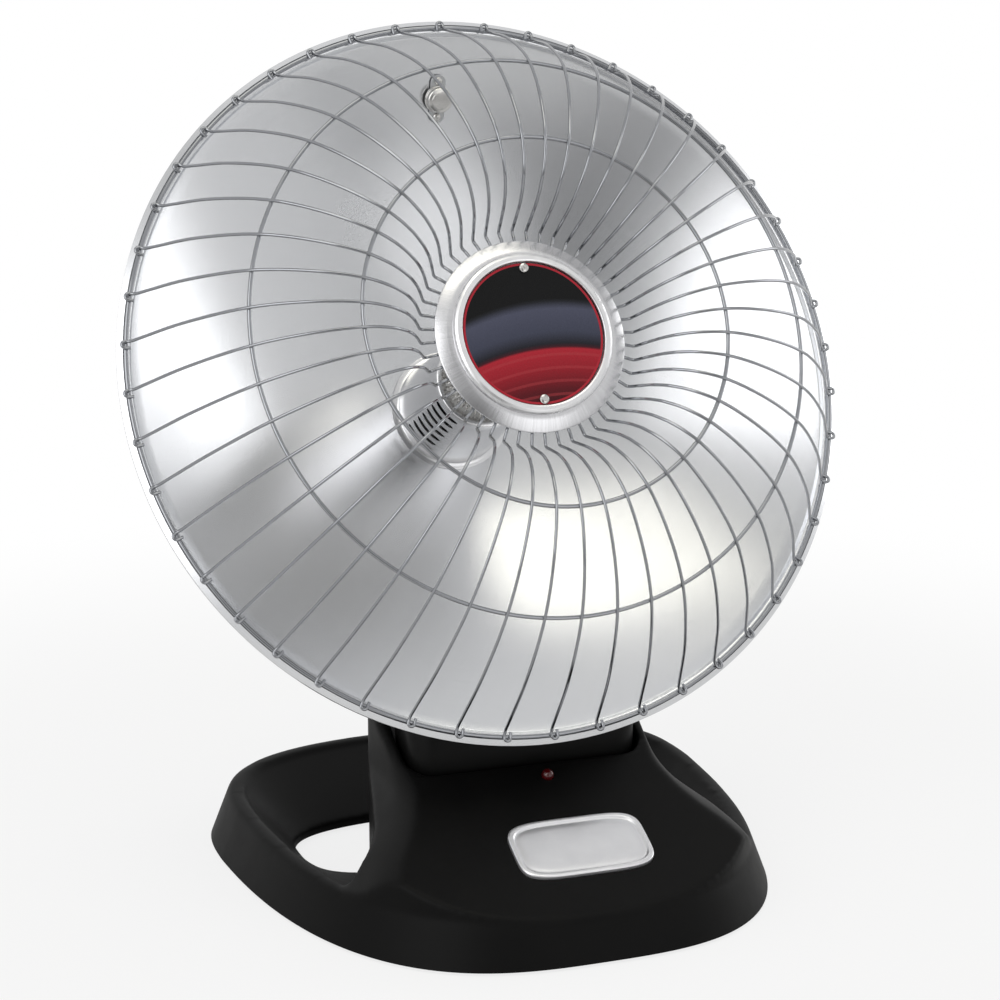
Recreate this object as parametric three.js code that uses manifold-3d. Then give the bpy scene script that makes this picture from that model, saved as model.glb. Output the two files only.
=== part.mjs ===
// Parabolic heater: a dish reflector with a domed wire guard, on a tilting neck over a moulded base.
// Millimetres and degrees. +Z is up, the front faces -Y, and the floor is z = 0.
import * as THREE from "three";
import { mergeVertices } from "three/addons/utils/BufferGeometryUtils.js";
import Module from "manifold-3d";

const wasm = await Module();
wasm.setup();

// ---------------------------------------------------------------- sizes: fits
const SEAT = 0.3; // gap left where two pieces rest on each other
const BORE_PLAY = 0.3; // radial play of a shaft, screw or rivet in its hole

// ---------------------------------------------------------------- sizes: base
const BASE_FRONT = 160; // from the frame's middle to the front edge
const BASE_BACK = 160;
const BASE_WIDEST_Y = 50; // where the footprint's front part meets its back part
const FRONT_HALF_WIDTH = 153.6; // the oval that the front part is cut from
const FRONT_MIDDLE_Y = 126.5;
const FRONT_POWER = 2.925; // squareness of the footprint's front part
const BACK_POWER = 2.8;
const SKIRT_DRAFT = 20;
const SKIRT_FRONT_HEIGHT = 24;
const SKIRT_BACK_HEIGHT = 34;
const RIM_WIDTH = 7; // flat top of the side loops
const RIM_ROUND = 2;
const SHELL_WALL = 3;
const SHELL_LIFT = 1.5; // shell's lower edge over the floor
const WELL_HALF_WIDTH = 110; // the opening inside the loops, at its lower edge
const WELL_MIDDLE_Y = 30;
const WELL_FRONT = 44;
const WELL_BACK = 50;
const WELL_POWER = 3.3;
const WELL_EDGE_HEIGHT = 6;
const RAMP_ANGLE = 25.05;
const FLANK_HALF_WIDTH = 79; // pedestal, at the pivot
const TAIL_HALF_WIDTH = 22; // low spine that joins the pedestal to the rear of the skirt
const TAIL_END = 104;
const TAIL_HEIGHT = 32;
const TAIL_TOP_AT = 76; // where the spine meets the pedestal's back
const TAIL_TOP_HEIGHT = 42;
const CROWN_BACK_AT = 58;
const CROWN_OVER_PIVOT = 11;
const CROWN_DEPTH = 20; // flat top of the pedestal behind the pivot
const CROWN_BACK_HEIGHT = 68;
const UNDER_FLOOR = -6; // how far the forms run on before their underside is cut flat

// ---------------------------------------------------------------- sizes: tilt
const PIVOT_Y = 2;
const PIVOT_HEIGHT = 82;
const NECK_RADIUS = 48.4; // barrel of the neck
const NECK_HALF_WIDTH = 66.6;
const NECK_END_ROUND = 15;
const NECK_WALL = 3;
const POCKET_GAP = 2; // running gap round the barrel
const POCKET_WALL = 3;
const EAR_WALL = 5;
const SHAFT_RADIUS = 5;
const SHAFT_SEAT = 3.4; // depth of the shaft's seat in each ear
const WASHER_RADIUS = 16;
const REST_TILT = 25.3; // how far the dish looks up at rest

// ---------------------------------------------------------------- sizes: head
const DISH_RADIUS = 201; // where the paraboloid ends
const DISH_DEPTH = 80.2; // depth of the paraboloid
const DISH_SET_BACK = 4.8; // its edge behind the guard's rim plane
const DISH_SHEET = 1;
const DISH_HOLE_RADIUS = 22;
const LIP_WIDTH = 4.4; // flat lip that the guard rests on
const BEAD_WIDTH = 3.2;
const BEAD_HEIGHT = 5.4;
const NECK_CONTACT_RADIUS = 158; // dish radius at which the neck's barrel lies
const NECK_DISH_GAP = 0.6;

const WIRE_COUNT = 48;
const WIRE_RADIUS = 0.85;
const GUARD_RIM_OUT = 3; // the rim ring, outside the dish's edge
const GUARD_RIM_WIRE = 1.25;
const GUARD_CROWN_RADIUS = 100;
const GUARD_CROWN_HEIGHT = 94.2;
const GUARD_MID_RADIUS = 154;
const GUARD_MID_HEIGHT = 71.3;
const GUARD_RING_WIRE = 1.1;
const GUARD_EYE_RADIUS = 47; // inner ends of the wires, clamped under the hub
const WELD_DEPTH = 0.5; // how far two welded wires sink into each other

const HUB_RADIUS = 53.1;
const HUB_HEIGHT = 60.3; // middle of the wires under the hub, over the rim plane
const HUB_SHEET = 1.2;
const HUB_RISE = 2.6;
const ROD_PROUD = 1;
const BEZEL_RADIUS = 44.5;
const BEZEL_WIDTH = 5.8;
const BEZEL_PROUD = 3.4;
const LABEL_THICKNESS = 1.6;
const HUB_SCREW_AT = 35.2;
const HUB_SCREW_RADIUS = 1.5;

const CAN_FOOT_RADIUS = 32;
const CAN_TOP_RADIUS = 27.3;
const CAN_FLANGE_RADIUS = 35.5;
const CAN_TOP = -20; // over the rim plane, so behind it
const CAN_SHEET = 0.8;
const LOUVRE_ROWS = 7;
const LOUVRE_FIRST = -27.4;
const LOUVRE_PITCH = 7.4;
const LOUVRE_WIDTH = 2.4;
const LOUVRE_ARC = 36;
const LOUVRE_MIDDLE = 35; // angle of each group below the level, left and right

const CORE_RADIUS = 17;
const CORE_FLANGE_RADIUS = 25.5;
const CORE_TOP = 50;
const CORE_FLANGE_THICKNESS = 4;
const ROD_RADIUS = 2.5;
const NUT_RADIUS = 4.6;
const NUT_THICKNESS = 3.2;
const BRIDGE_WIDTH = 16;
const BRIDGE_SHEET = 2;
const BRIDGE_CLEAR = 17; // each end of the bridge, inside the housing's outline
const COIL_TURNS = 3;
const COIL_CURLS = 48;
const COIL_RADIUS = 21.6; // of the helix that the curls ride on
const CURL_RADIUS = 2.9;
const COIL_WIRE = 0.5;
const COIL_START = -9;
const COIL_END = 40;
const TERMINAL_RADIUS = 1.3;
const TERMINAL_HEIGHT = 3;

const HOUSING_RADIUS = 58;
const HOUSING_TAPER = 6;
const HOUSING_DEPTH = 46;
const HOUSING_WALL = 2.4;
const KNOB_RADIUS = 17;
const KNOB_DEPTH = 14;
const KNOB_SHAFT_RADIUS = 3;
const COLUMN_WIDTH = 92;
const COLUMN_TOP_DEPTH = 34; // the column, front to back, where it meets the housing

const CUTOFF_RADIUS = 8;
const CUTOFF_HEIGHT = 6;
const CUTOFF_FROM_EDGE = 29; // the cutoff's middle, inwards from the dish's edge
const CUTOFF_EAR_SPACING = 21;

// ---------------------------------------------------------------- sizes: small parts of the base
const BADGE_WIDTH = 76;
const BADGE_DEPTH = 41;
const BADGE_THICKNESS = 3;
const BADGE_RECESS = 1.2;
const BADGE_X = 5.5;
const BADGE_FROM_FRONT = 44; // along Y, from the ramp's lower end to the badge's middle
const LENS_RADIUS = 3.4;
const LENS_X = 6;
const LENS_FROM_SLOT = 10; // along Y, in front of the slot
const LENS_STEM = 9;
const LAMP_RADIUS = 1.9;
const FOOT_RADIUS = 9;
const PLATE_THICKNESS = 2;
const GLAND_RADIUS = 6.5;
const GLAND_BORE = 3.6;
const GLAND_HEIGHT = 18.5;
const SWITCH_SIZE = [24, 16, 15];
const SWITCH_PLACE = [38, -100];
const BUZZER_RADIUS = 12;
const BUZZER_HEIGHT = 9;
const BUZZER_PLACE = [-38, -100];

// ---------------------------------------------------------------- resolution
const OUTLINE_STEPS = 48;
const DISH_STEPS = 48;
const DISH_ROWS = 5;
const HUB_STEPS = 32;
const ROUND_STEPS = 32;
const SMALL_STEPS = 16;

// ---------------------------------------------------------------- materials
function finish(color, roughness, metalness) {
  return new THREE.MeshStandardMaterial({ color, roughness, metalness });
}
const BLACK_PLASTIC = finish(0x101011, 0.55, 0);
const RUBBER = finish(0x1a1a1a, 0.9, 0);
const REFLECTOR = finish(0xc9cbd0, 0.28, 1);
const CHROME = finish(0xd8dadd, 0.15, 1);
const ALUMINIUM = finish(0xc4c6c9, 0.35, 1);
const STEEL = finish(0x8c8f93, 0.4, 1);
const CERAMIC = finish(0xe9e6dd, 0.8, 0);
const RESISTANCE_WIRE = finish(0x4a4542, 0.5, 1);
const RED_LENS = finish(0xb01218, 0.15, 0);
const LABEL_FACE = finish(0x2a2f3c, 0.3, 0);
const NYLON = finish(0xd9d6cc, 0.6, 0);

// ---------------------------------------------------------------- geometry helpers
const radians = THREE.MathUtils.degToRad;

function toSolid(geometry) {
  const source = geometry.index ? geometry.toNonIndexed() : geometry;
  const bare = new THREE.BufferGeometry();
  bare.setAttribute("position", source.getAttribute("position"));
  const merged = mergeVertices(bare, 1e-4);
  const mesh = new wasm.Mesh({
    numProp: 3,
    vertProperties: merged.attributes.position.array,
    triVerts: new Uint32Array(merged.index.array),
  });
  return new wasm.Manifold(mesh);
}

function toGeometry(solid) {
  const mesh = solid.getMesh();
  const geometry = new THREE.BufferGeometry();
  geometry.setAttribute("position", new THREE.BufferAttribute(mesh.vertProperties, 3));
  geometry.setIndex(new THREE.BufferAttribute(mesh.triVerts, 1));
  const flat = geometry.toNonIndexed();
  flat.computeVertexNormals();
  return flat;
}

function join(...geometries) {
  return geometries.map(toSolid).reduce((whole, piece) => whole.add(piece));
}

function cut(solid, ...geometries) {
  return geometries.reduce((left, tool) => left.subtract(toSolid(tool)), solid);
}

// Turns a profile of [radius, z] pairs round the Z axis. A profile that is off the axis is closed.
function revolve(profile, steps) {
  const points = profile.map(([radius, z]) => new THREE.Vector2(radius, z));
  if (THREE.ShapeUtils.area(points) < 0) points.reverse();
  const solidToAxis = points[0].x === 0 && points.at(-1).x === 0;
  if (!solidToAxis) points.push(points[0].clone());
  return new THREE.LatheGeometry(points, steps).rotateX(Math.PI / 2);
}

function disc(radius, bottom, top, steps = ROUND_STEPS) {
  return revolve([[0, bottom], [radius, bottom], [radius, top], [0, top]], steps);
}

function ring(inner, outer, bottom, top, steps = ROUND_STEPS) {
  return revolve([[inner, bottom], [outer, bottom], [outer, top], [inner, top]], steps);
}

function box(width, depth, height, x, y, z) {
  return new THREE.BoxGeometry(width, depth, height).translate(x, y, z);
}

// Extrudes an outline of [y, z] pairs along X, centred on x = 0.
function across(outline, width) {
  const shape = new THREE.Shape(outline.map(([y, z]) => new THREE.Vector2(y, z)));
  const solid = new THREE.ExtrudeGeometry(shape, { depth: width, bevelEnabled: false });
  const axes = new THREE.Matrix4().makeBasis(
    new THREE.Vector3(0, 1, 0),
    new THREE.Vector3(0, 0, 1),
    new THREE.Vector3(1, 0, 0),
  );
  return solid.applyMatrix4(axes).translate(-width / 2, 0, 0);
}

// Skins closed loops of points, each running anticlockwise seen from above, from the lowest up.
function loft(loops) {
  const count = loops[0].length;
  const positions = loops.flat().flatMap((point) => [point.x, point.y, point.z]);
  const index = [];
  for (let row = 0; row + 1 < loops.length; row++) {
    for (let i = 0; i < count; i++) {
      const a = row * count + i;
      const b = row * count + ((i + 1) % count);
      index.push(a, b, b + count, a, b + count, a + count);
    }
  }
  // Each end is closed by a fan round the loop's middle.
  const last = (loops.length - 1) * count;
  const hub = loops.length * count;
  for (const loop of [loops[0], loops.at(-1)]) {
    const middle = new THREE.Vector3();
    loop.forEach((point) => middle.addScaledVector(point, 1 / count));
    positions.push(middle.x, middle.y, middle.z);
  }
  for (let i = 0; i < count; i++) {
    const next = (i + 1) % count;
    index.push(hub, next, i, hub + 1, last + i, last + next);
  }
  const geometry = new THREE.BufferGeometry();
  geometry.setAttribute("position", new THREE.Float32BufferAttribute(positions, 3));
  geometry.setIndex(index);
  return geometry;
}

// A round wire through the points, with flat ends. Its section is carried along without twisting.
function wire(points, radius, sides) {
  const tangents = points.map((point, i) => {
    const next = points[Math.min(i + 1, points.length - 1)];
    const before = points[Math.max(i - 1, 0)];
    return next.clone().sub(before).normalize();
  });
  const seed = Math.abs(tangents[0].z) < 0.9 ? new THREE.Vector3(0, 0, 1) : new THREE.Vector3(1, 0, 0);
  const normal = seed.cross(tangents[0]).normalize();
  const positions = [];
  points.forEach((point, i) => {
    normal.addScaledVector(tangents[i], -normal.dot(tangents[i])).normalize();
    const side = tangents[i].clone().cross(normal);
    for (let k = 0; k < sides; k++) {
      const angle = (2 * Math.PI * k) / sides;
      const corner = point.clone();
      corner.addScaledVector(normal, radius * Math.cos(angle));
      corner.addScaledVector(side, radius * Math.sin(angle));
      positions.push(corner.x, corner.y, corner.z);
    }
  });
  const index = [];
  for (let i = 0; i + 1 < points.length; i++) {
    for (let k = 0; k < sides; k++) {
      const a = i * sides + k;
      const b = i * sides + ((k + 1) % sides);
      index.push(a, b, b + sides, a, b + sides, a + sides);
    }
  }
  const last = (points.length - 1) * sides;
  for (let k = 1; k + 1 < sides; k++) {
    index.push(0, k + 1, k);
    index.push(last, last + k, last + k + 1);
  }
  const geometry = new THREE.BufferGeometry();
  geometry.setAttribute("position", new THREE.Float32BufferAttribute(positions, 3));
  geometry.setIndex(index);
  return geometry;
}

function piece(parent, name, shape, material) {
  const geometry = shape.isBufferGeometry ? shape : toGeometry(shape);
  const mesh = new THREE.Mesh(geometry, material);
  mesh.name = name;
  parent.add(mesh);
  return mesh;
}

// ---------------------------------------------------------------- base: outlines
const draftSlope = Math.tan(radians(SKIRT_DRAFT));

function skirtHeight(y) {
  const share = (y + BASE_FRONT) / (BASE_FRONT + BASE_BACK);
  return THREE.MathUtils.lerp(SKIRT_FRONT_HEIGHT, SKIRT_BACK_HEIGHT, share);
}

// A point of an oval whose corners are squared by a power over 2.
function ovalPoint(angle, halfWidth, halfDepth, power) {
  const across = Math.cos(angle);
  const along = Math.sin(angle);
  const x = Math.sign(across) * halfWidth * Math.abs(across) ** (2 / power);
  const y = Math.sign(along) * halfDepth * Math.abs(along) ** (2 / power);
  return new THREE.Vector2(x, y);
}

// The front part ends short of its own oval's widest line, so its angles are drawn together.
function footprintFront(angle, inset) {
  const halfDepth = BASE_FRONT + FRONT_MIDDLE_Y - inset;
  const start = Math.asin(((FRONT_MIDDLE_Y - BASE_WIDEST_Y) / halfDepth) ** (FRONT_POWER / 2));
  const turned = start + Math.asin(Math.abs(Math.sin(angle))) * (1 - (2 * start) / Math.PI);
  const facing = Math.cos(angle) < 0 ? Math.PI + turned : -turned;
  const point = ovalPoint(facing, FRONT_HALF_WIDTH - inset, halfDepth, FRONT_POWER);
  point.y = FRONT_MIDDLE_Y - Math.abs(point.y);
  return point;
}

function footprintPoint(angle, inset) {
  if (Math.sin(angle) < 0) return footprintFront(angle, inset);
  const halfWidth = footprintFront(0, inset).x;
  const point = ovalPoint(angle, halfWidth, BASE_BACK - BASE_WIDEST_Y - inset, BACK_POWER);
  point.y += BASE_WIDEST_Y;
  return point;
}

// The footprint drawn in by an inset, at a height that may change along it.
function skirtLoop(steps, inset, heightAt) {
  const loop = [];
  for (let i = 0; i < steps; i++) {
    const angle = (2 * Math.PI * i) / steps;
    const height = heightAt(footprintPoint(angle, 0).y);
    const point = footprintPoint(angle, inset + height * draftSlope);
    loop.push(new THREE.Vector3(point.x, point.y, height));
  }
  return loop;
}

function wellLoop(steps, grow, height) {
  const loop = [];
  for (let i = 0; i < steps; i++) {
    const angle = (2 * Math.PI * i) / steps;
    const halfDepth = (Math.sin(angle) < 0 ? WELL_FRONT : WELL_BACK) + grow;
    const point = ovalPoint(angle, WELL_HALF_WIDTH + grow, halfDepth, WELL_POWER);
    loop.push(new THREE.Vector3(point.x, point.y + WELL_MIDDLE_Y, height));
  }
  return loop;
}

// Mirrors the right half of a closed outline, which starts at the front and ends at the back.
function mirrored(rightHalf) {
  const left = rightHalf.slice(1, -1).reverse();
  return [...rightHalf, ...left.map((point) => new THREE.Vector2(-point.x, point.y))];
}

// Moves a closed outline inwards.
function shrink(loop, inset) {
  return loop.map((point, i) => {
    const next = loop[(i + 1) % loop.length];
    const before = loop[(i + loop.length - 1) % loop.length];
    const along = next.clone().sub(before).normalize();
    return new THREE.Vector2(point.x - along.y * inset, point.y + along.x * inset);
  });
}

// ---------------------------------------------------------------- base: pedestal outlines
const rampStart = new THREE.Vector2(
  -BASE_FRONT + SKIRT_FRONT_HEIGHT * draftSlope,
  SKIRT_FRONT_HEIGHT,
);
const rampAngle = radians(RAMP_ANGLE);

function rampHeight(y) {
  return rampStart.y + (y - rampStart.x) * Math.tan(rampAngle);
}

// Places round the skirt's rim that the pedestal's front follows.
const SHOULDER_ANGLES = [-90, -75, -60, -47, -37];
const NOSE_ANGLE = -35;
const NOSE_INSET = 5;
// The pedestal's flank in plan, from its nose to its back: out from the flank, along from the pivot.
const FLANK = [
  [24, -74],
  [15, -60],
  [9, -40],
  [2, -13],
  [-4, 10],
  [-13, 34],
  [-32, 52],
  [-51, 68],
];

function planKnots() {
  const rimPoint = (angle, inset) => {
    const height = skirtHeight(footprintPoint(angle, 0).y);
    return footprintPoint(angle, inset + height * draftSlope);
  };
  const knots = SHOULDER_ANGLES.map((angle) => rimPoint(radians(angle), 0.6));
  knots.push(rimPoint(radians(NOSE_ANGLE), NOSE_INSET));
  for (const [out, along] of FLANK) {
    knots.push(new THREE.Vector2(FLANK_HALF_WIDTH + out, PIVOT_Y + along));
  }
  knots.push(new THREE.Vector2(TAIL_HALF_WIDTH, TAIL_END));
  knots.push(new THREE.Vector2(0, TAIL_END));
  return knots;
}

// Level sections that lean the pedestal's sides in: height, half width, place of the widest point
// along Y, reach in front of that and reach behind it.
const LEAN_SECTIONS = [
  [2 * UNDER_FLOOR, 124, -70, 100, 200],
  [24, 121, -72, 92, 200],
  [29, 112.5, -75, 84, 200],
  [38, 106, -78, 72, 190],
  [46, 98, -68, 66.5, 140],
  [53, 88, -55, 64.6, 130],
  [62, 79, -35, 64, 110],
  [72.7, 76.5, -15, 56, 90],
  [100, 75.5, 5, 52, 70],
];
const LEAN_POWER = 3;

function leanLoop(steps, section, inset) {
  const [height, halfWidth, middle, front, back] = section;
  const loop = [];
  for (let i = 0; i < steps; i++) {
    const angle = (2 * Math.PI * i) / steps;
    const halfDepth = (Math.sin(angle) < 0 ? front : back) - inset;
    const point = ovalPoint(angle, halfWidth - inset, halfDepth, LEAN_POWER);
    loop.push(new THREE.Vector3(point.x, point.y + middle, height));
  }
  return loop;
}

// The pedestal from the side, as [y, z] pairs: the ramp, the crown and the back.
function sideProfile(inset) {
  const drop = inset / Math.cos(rampAngle);
  const crown = PIVOT_HEIGHT + CROWN_OVER_PIVOT - inset;
  const crownStart = rampStart.x + (crown + drop - rampStart.y) / Math.tan(rampAngle);
  const tail = TAIL_END - inset;
  return [
    [-BASE_FRONT, 3 * UNDER_FLOOR],
    [tail, 3 * UNDER_FLOOR],
    [tail, TAIL_HEIGHT - inset],
    [TAIL_TOP_AT - inset, TAIL_TOP_HEIGHT - inset],
    [CROWN_BACK_AT - inset, CROWN_BACK_HEIGHT - inset],
    [PIVOT_Y + CROWN_DEPTH, crown],
    [crownStart, crown],
    [-BASE_FRONT, rampHeight(-BASE_FRONT) - drop],
  ];
}

// ---------------------------------------------------------------- base: shell
// The outer form of the base, drawn in by an inset on every wall. It runs on below the floor.
function baseForm(inset) {
  const plain = inset > 0;
  const steps = plain ? OUTLINE_STEPS / 2 : OUTLINE_STEPS;
  const rimAt = (y) => skirtHeight(y) - inset;
  const raised = (loop, height) => loop.map((point) => point.clone().setZ(point.z + height));
  const innerRim = skirtLoop(steps, RIM_ROUND + RIM_WIDTH - inset, (y) => rimAt(y) - RIM_ROUND);
  const well = loft([
    wellLoop(steps, inset, 2 * UNDER_FLOOR),
    wellLoop(steps, inset, WELL_EDGE_HEIGHT),
    innerRim,
    raised(innerRim, 20),
  ]);
  const skirt = [skirtLoop(steps, inset, () => UNDER_FLOOR)];
  if (plain) skirt.push(skirtLoop(steps, inset, rimAt));
  else skirt.push(skirtLoop(steps, 0, (y) => rimAt(y) - RIM_ROUND), skirtLoop(steps, RIM_ROUND, rimAt));
  return cut(toSolid(loft(skirt)), well).add(pedestal(inset));
}

function pedestal(inset) {
  const steps = inset > 0 ? SMALL_STEPS : ROUND_STEPS;
  const plan = shrink(mirrored(planKnots()), inset);
  const upright = loft([
    plan.map((point) => new THREE.Vector3(point.x, point.y, 1.5 * UNDER_FLOOR)),
    plan.map((point) => new THREE.Vector3(point.x, point.y, PIVOT_HEIGHT + 40)),
  ]);
  const leaning = loft(LEAN_SECTIONS.map((section) => leanLoop(steps, section, inset)));
  const side = across(sideProfile(inset), 2 * FRONT_HALF_WIDTH);
  return toSolid(upright).intersect(toSolid(leaning)).intersect(toSolid(side));
}

// The neck's barrel about the X axis, grown by a gap, centred on the pivot.
function barrel(grow, steps = ROUND_STEPS) {
  const radius = NECK_RADIUS + grow;
  const half = NECK_HALF_WIDTH + grow;
  const round = NECK_END_ROUND;
  const end = [];
  for (let i = 0; i <= 3; i++) {
    const angle = (Math.PI / 2) * (1 - i / 3);
    end.push([radius - round + round * Math.sin(angle), half - round + round * Math.cos(angle)]);
  }
  const other = end.map(([r, z]) => [r, -z]).reverse();
  const shape = revolve([[0, -half], ...other, ...end, [0, half]], steps);
  return shape.rotateY(Math.PI / 2).translate(0, PIVOT_Y, PIVOT_HEIGHT);
}

function openAbove(halfWidth, halfDepth) {
  return box(2 * halfWidth, 2 * halfDepth, 60, 0, PIVOT_Y, PIVOT_HEIGHT + 30);
}

function alongX(geometry, x) {
  return geometry.rotateY(Math.PI / 2).translate(x, PIVOT_Y, PIVOT_HEIGHT);
}

const pocketHalfWidth = NECK_HALF_WIDTH + POCKET_GAP;
const pocketRadius = NECK_RADIUS + POCKET_GAP;

function baseShell() {
  const tub = join(
    barrel(POCKET_GAP + POCKET_WALL, SMALL_STEPS),
    openAbove(pocketHalfWidth + EAR_WALL, pocketRadius + POCKET_WALL),
  );
  const hollow = baseForm(SHELL_WALL).subtract(tub);
  const shell = baseForm(0).subtract(hollow);
  const shaftLength = 2 * (pocketHalfWidth + SHAFT_SEAT + SEAT);
  return cut(
    shell,
    box(4 * FRONT_HALF_WIDTH, 4 * BASE_FRONT, 40, 0, 0, SHELL_LIFT - 20),
    barrel(POCKET_GAP),
    openAbove(pocketHalfWidth, pocketRadius),
    alongX(disc(SHAFT_RADIUS + BORE_PLAY, -shaftLength / 2, shaftLength / 2, SMALL_STEPS), 0),
    disc(8, 0, PIVOT_HEIGHT, SMALL_STEPS).translate(0, PIVOT_Y, 0),
    onRamp(badgeOutline(BADGE_WIDTH + 2 * SEAT, BADGE_DEPTH + 2 * SEAT, 10), BADGE_X, badgeY, -BADGE_RECESS),
    onRamp(disc(LENS_RADIUS + BORE_PLAY, -20, 20, SMALL_STEPS), LENS_X, lensY, 0),
    glandTool(GLAND_RADIUS + BORE_PLAY),
  );
}

// ---------------------------------------------------------------- base: parts on the ramp
const badgeY = rampStart.x + BADGE_FROM_FRONT;
const slotY = PIVOT_Y - Math.sqrt(pocketRadius ** 2 - 9.5 ** 2);
const lensY = slotY - LENS_FROM_SLOT;

// Lays a shape that stands on z = 0 on the ramp, at a place in plan and a height over its face.
function onRamp(geometry, x, y, over) {
  return geometry.translate(0, 0, over).rotateX(rampAngle).translate(x, y, rampHeight(y));
}

function badgeOutline(width, depth, thickness) {
  const shape = new THREE.Shape();
  const steps = 24;
  for (let i = 0; i < steps; i++) {
    const point = ovalPoint((2 * Math.PI * i) / steps, width / 2, depth / 2, 4.6);
    if (i === 0) shape.moveTo(point.x, point.y);
    else shape.lineTo(point.x, point.y);
  }
  shape.closePath();
  return new THREE.ExtrudeGeometry(shape, { depth: thickness, bevelEnabled: false });
}

function badgePlate() {
  const border = 3.2;
  const over = -BADGE_RECESS + SEAT;
  const plate = toSolid(badgeOutline(BADGE_WIDTH, BADGE_DEPTH, BADGE_THICKNESS));
  const field = badgeOutline(BADGE_WIDTH - 2 * border, BADGE_DEPTH - 2 * border, 5);
  const framed = cut(plate, field.translate(0, 0, BADGE_THICKNESS - 0.9));
  return onRamp(toGeometry(framed), BADGE_X, badgeY, over);
}

function indicatorLens() {
  const profile = [[LAMP_RADIUS + BORE_PLAY, -LENS_STEM], [LENS_RADIUS, -LENS_STEM], [LENS_RADIUS, 0.6]];
  for (let i = 1; i < 4; i++) {
    const angle = (Math.PI / 2) * (i / 4);
    profile.push([LENS_RADIUS * Math.cos(angle), 0.6 + LENS_RADIUS * Math.sin(angle)]);
  }
  profile.push([0, 0.6 + LENS_RADIUS], [0, 0], [LAMP_RADIUS + BORE_PLAY, 0]);
  const outline = [profile.at(-2), profile.at(-1), ...profile.slice(0, -2)];
  return onRamp(revolve(outline, 10), LENS_X, lensY, 0);
}

function indicatorLamp() {
  return onRamp(disc(LAMP_RADIUS, -LENS_STEM - 4, -SEAT, SMALL_STEPS), LENS_X, lensY, 0);
}

// ---------------------------------------------------------------- base: underside
const plateBottom = SHELL_LIFT + 0.5;
const plateTop = plateBottom + PLATE_THICKNESS;
const FEET = { front: [72, -112], back: [82, 112] };

function bottomPlate() {
  const middle = (plateBottom + plateTop) / 2;
  const slab = box(4 * FRONT_HALF_WIDTH, 4 * BASE_FRONT, PLATE_THICKNESS, 0, 0, middle);
  return baseForm(SHELL_WALL + SEAT).intersect(toSolid(slab));
}

function foot(x, y) {
  return disc(FOOT_RADIUS, 0, plateBottom - SEAT, SMALL_STEPS).translate(x, y, 0);
}

function glandPlace(geometry) {
  const y = BASE_BACK - GLAND_HEIGHT * draftSlope;
  return geometry.rotateX(radians(SKIRT_DRAFT - 90)).translate(0, y, GLAND_HEIGHT);
}

function glandTool(radius) {
  return glandPlace(disc(radius, -20, 10, SMALL_STEPS));
}

function cordGland() {
  const head = GLAND_RADIUS + 2.2;
  const lip = GLAND_RADIUS + 1;
  const profile = [
    [GLAND_BORE, -9],
    [GLAND_RADIUS, -9],
    [GLAND_RADIUS, 0.6],
    [head, 0.6],
    [head, 2.2],
    [lip, 3.6],
    [GLAND_BORE, 3.6],
  ];
  return glandPlace(revolve(profile, SMALL_STEPS));
}

// ---------------------------------------------------------------- head: placing
// Height over the guard's rim plane of the dish's inner face, at a distance from its axis.
function dishFace(radius) {
  return -DISH_SET_BACK - DISH_DEPTH * (1 - (radius / DISH_RADIUS) ** 2);
}

// The barrel lies against the dish's back. The pivot, seen from the dish: [across the axis, along it].
function pivotFromDish() {
  const slope = (2 * DISH_DEPTH * NECK_CONTACT_RADIUS) / DISH_RADIUS ** 2;
  const reach = (NECK_RADIUS + NECK_DISH_GAP + DISH_SHEET) / Math.hypot(slope, 1);
  return [-NECK_CONTACT_RADIUS - slope * reach, dishFace(NECK_CONTACT_RADIUS) - reach];
}

const tilt = radians(REST_TILT);
const [pivotDown, pivotBehind] = pivotFromDish();
const rimCentre = new THREE.Vector3(
  0,
  PIVOT_Y - pivotDown * Math.sin(tilt) + pivotBehind * Math.cos(tilt),
  PIVOT_HEIGHT - pivotDown * Math.cos(tilt) - pivotBehind * Math.sin(tilt),
);

// Carries a shape from the dish's own frame, with +Z along its axis, to its place.
function headToWorld(geometry) {
  return geometry
    .clone()
    .rotateX(Math.PI / 2 - tilt)
    .translate(rimCentre.x, rimCentre.y, rimCentre.z);
}

// ---------------------------------------------------------------- head: reflector
function reflectorDish() {
  const radii = [DISH_HOLE_RADIUS, CAN_FLANGE_RADIUS + 1.5];
  for (let i = 0; i <= DISH_ROWS; i++) {
    radii.push(THREE.MathUtils.lerp(HOUSING_RADIUS, DISH_RADIUS, i / DISH_ROWS));
  }
  const inner = radii.map((radius) => [radius, dishFace(radius)]);
  const outer = inner.map(([radius, z]) => [radius, z - DISH_SHEET]).reverse();
  const lipTop = -GUARD_RIM_WIRE - SEAT;
  const lipEdge = DISH_RADIUS + LIP_WIDTH;
  const beadEdge = lipEdge + BEAD_WIDTH;
  const beadTop = lipTop + 2.6;
  const bead = [
    [DISH_RADIUS + 0.6, lipTop],
    [lipEdge, lipTop],
    [lipEdge + 0.8, beadTop],
    [beadEdge - 0.8, beadTop],
    [beadEdge, beadTop - 1.2],
    [beadEdge, beadTop - BEAD_HEIGHT],
    [lipEdge, lipTop - DISH_SHEET],
    [DISH_RADIUS + 1.4, lipTop - DISH_SHEET],
  ];
  return revolve([...inner, ...bead, ...outer], DISH_STEPS);
}

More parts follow.
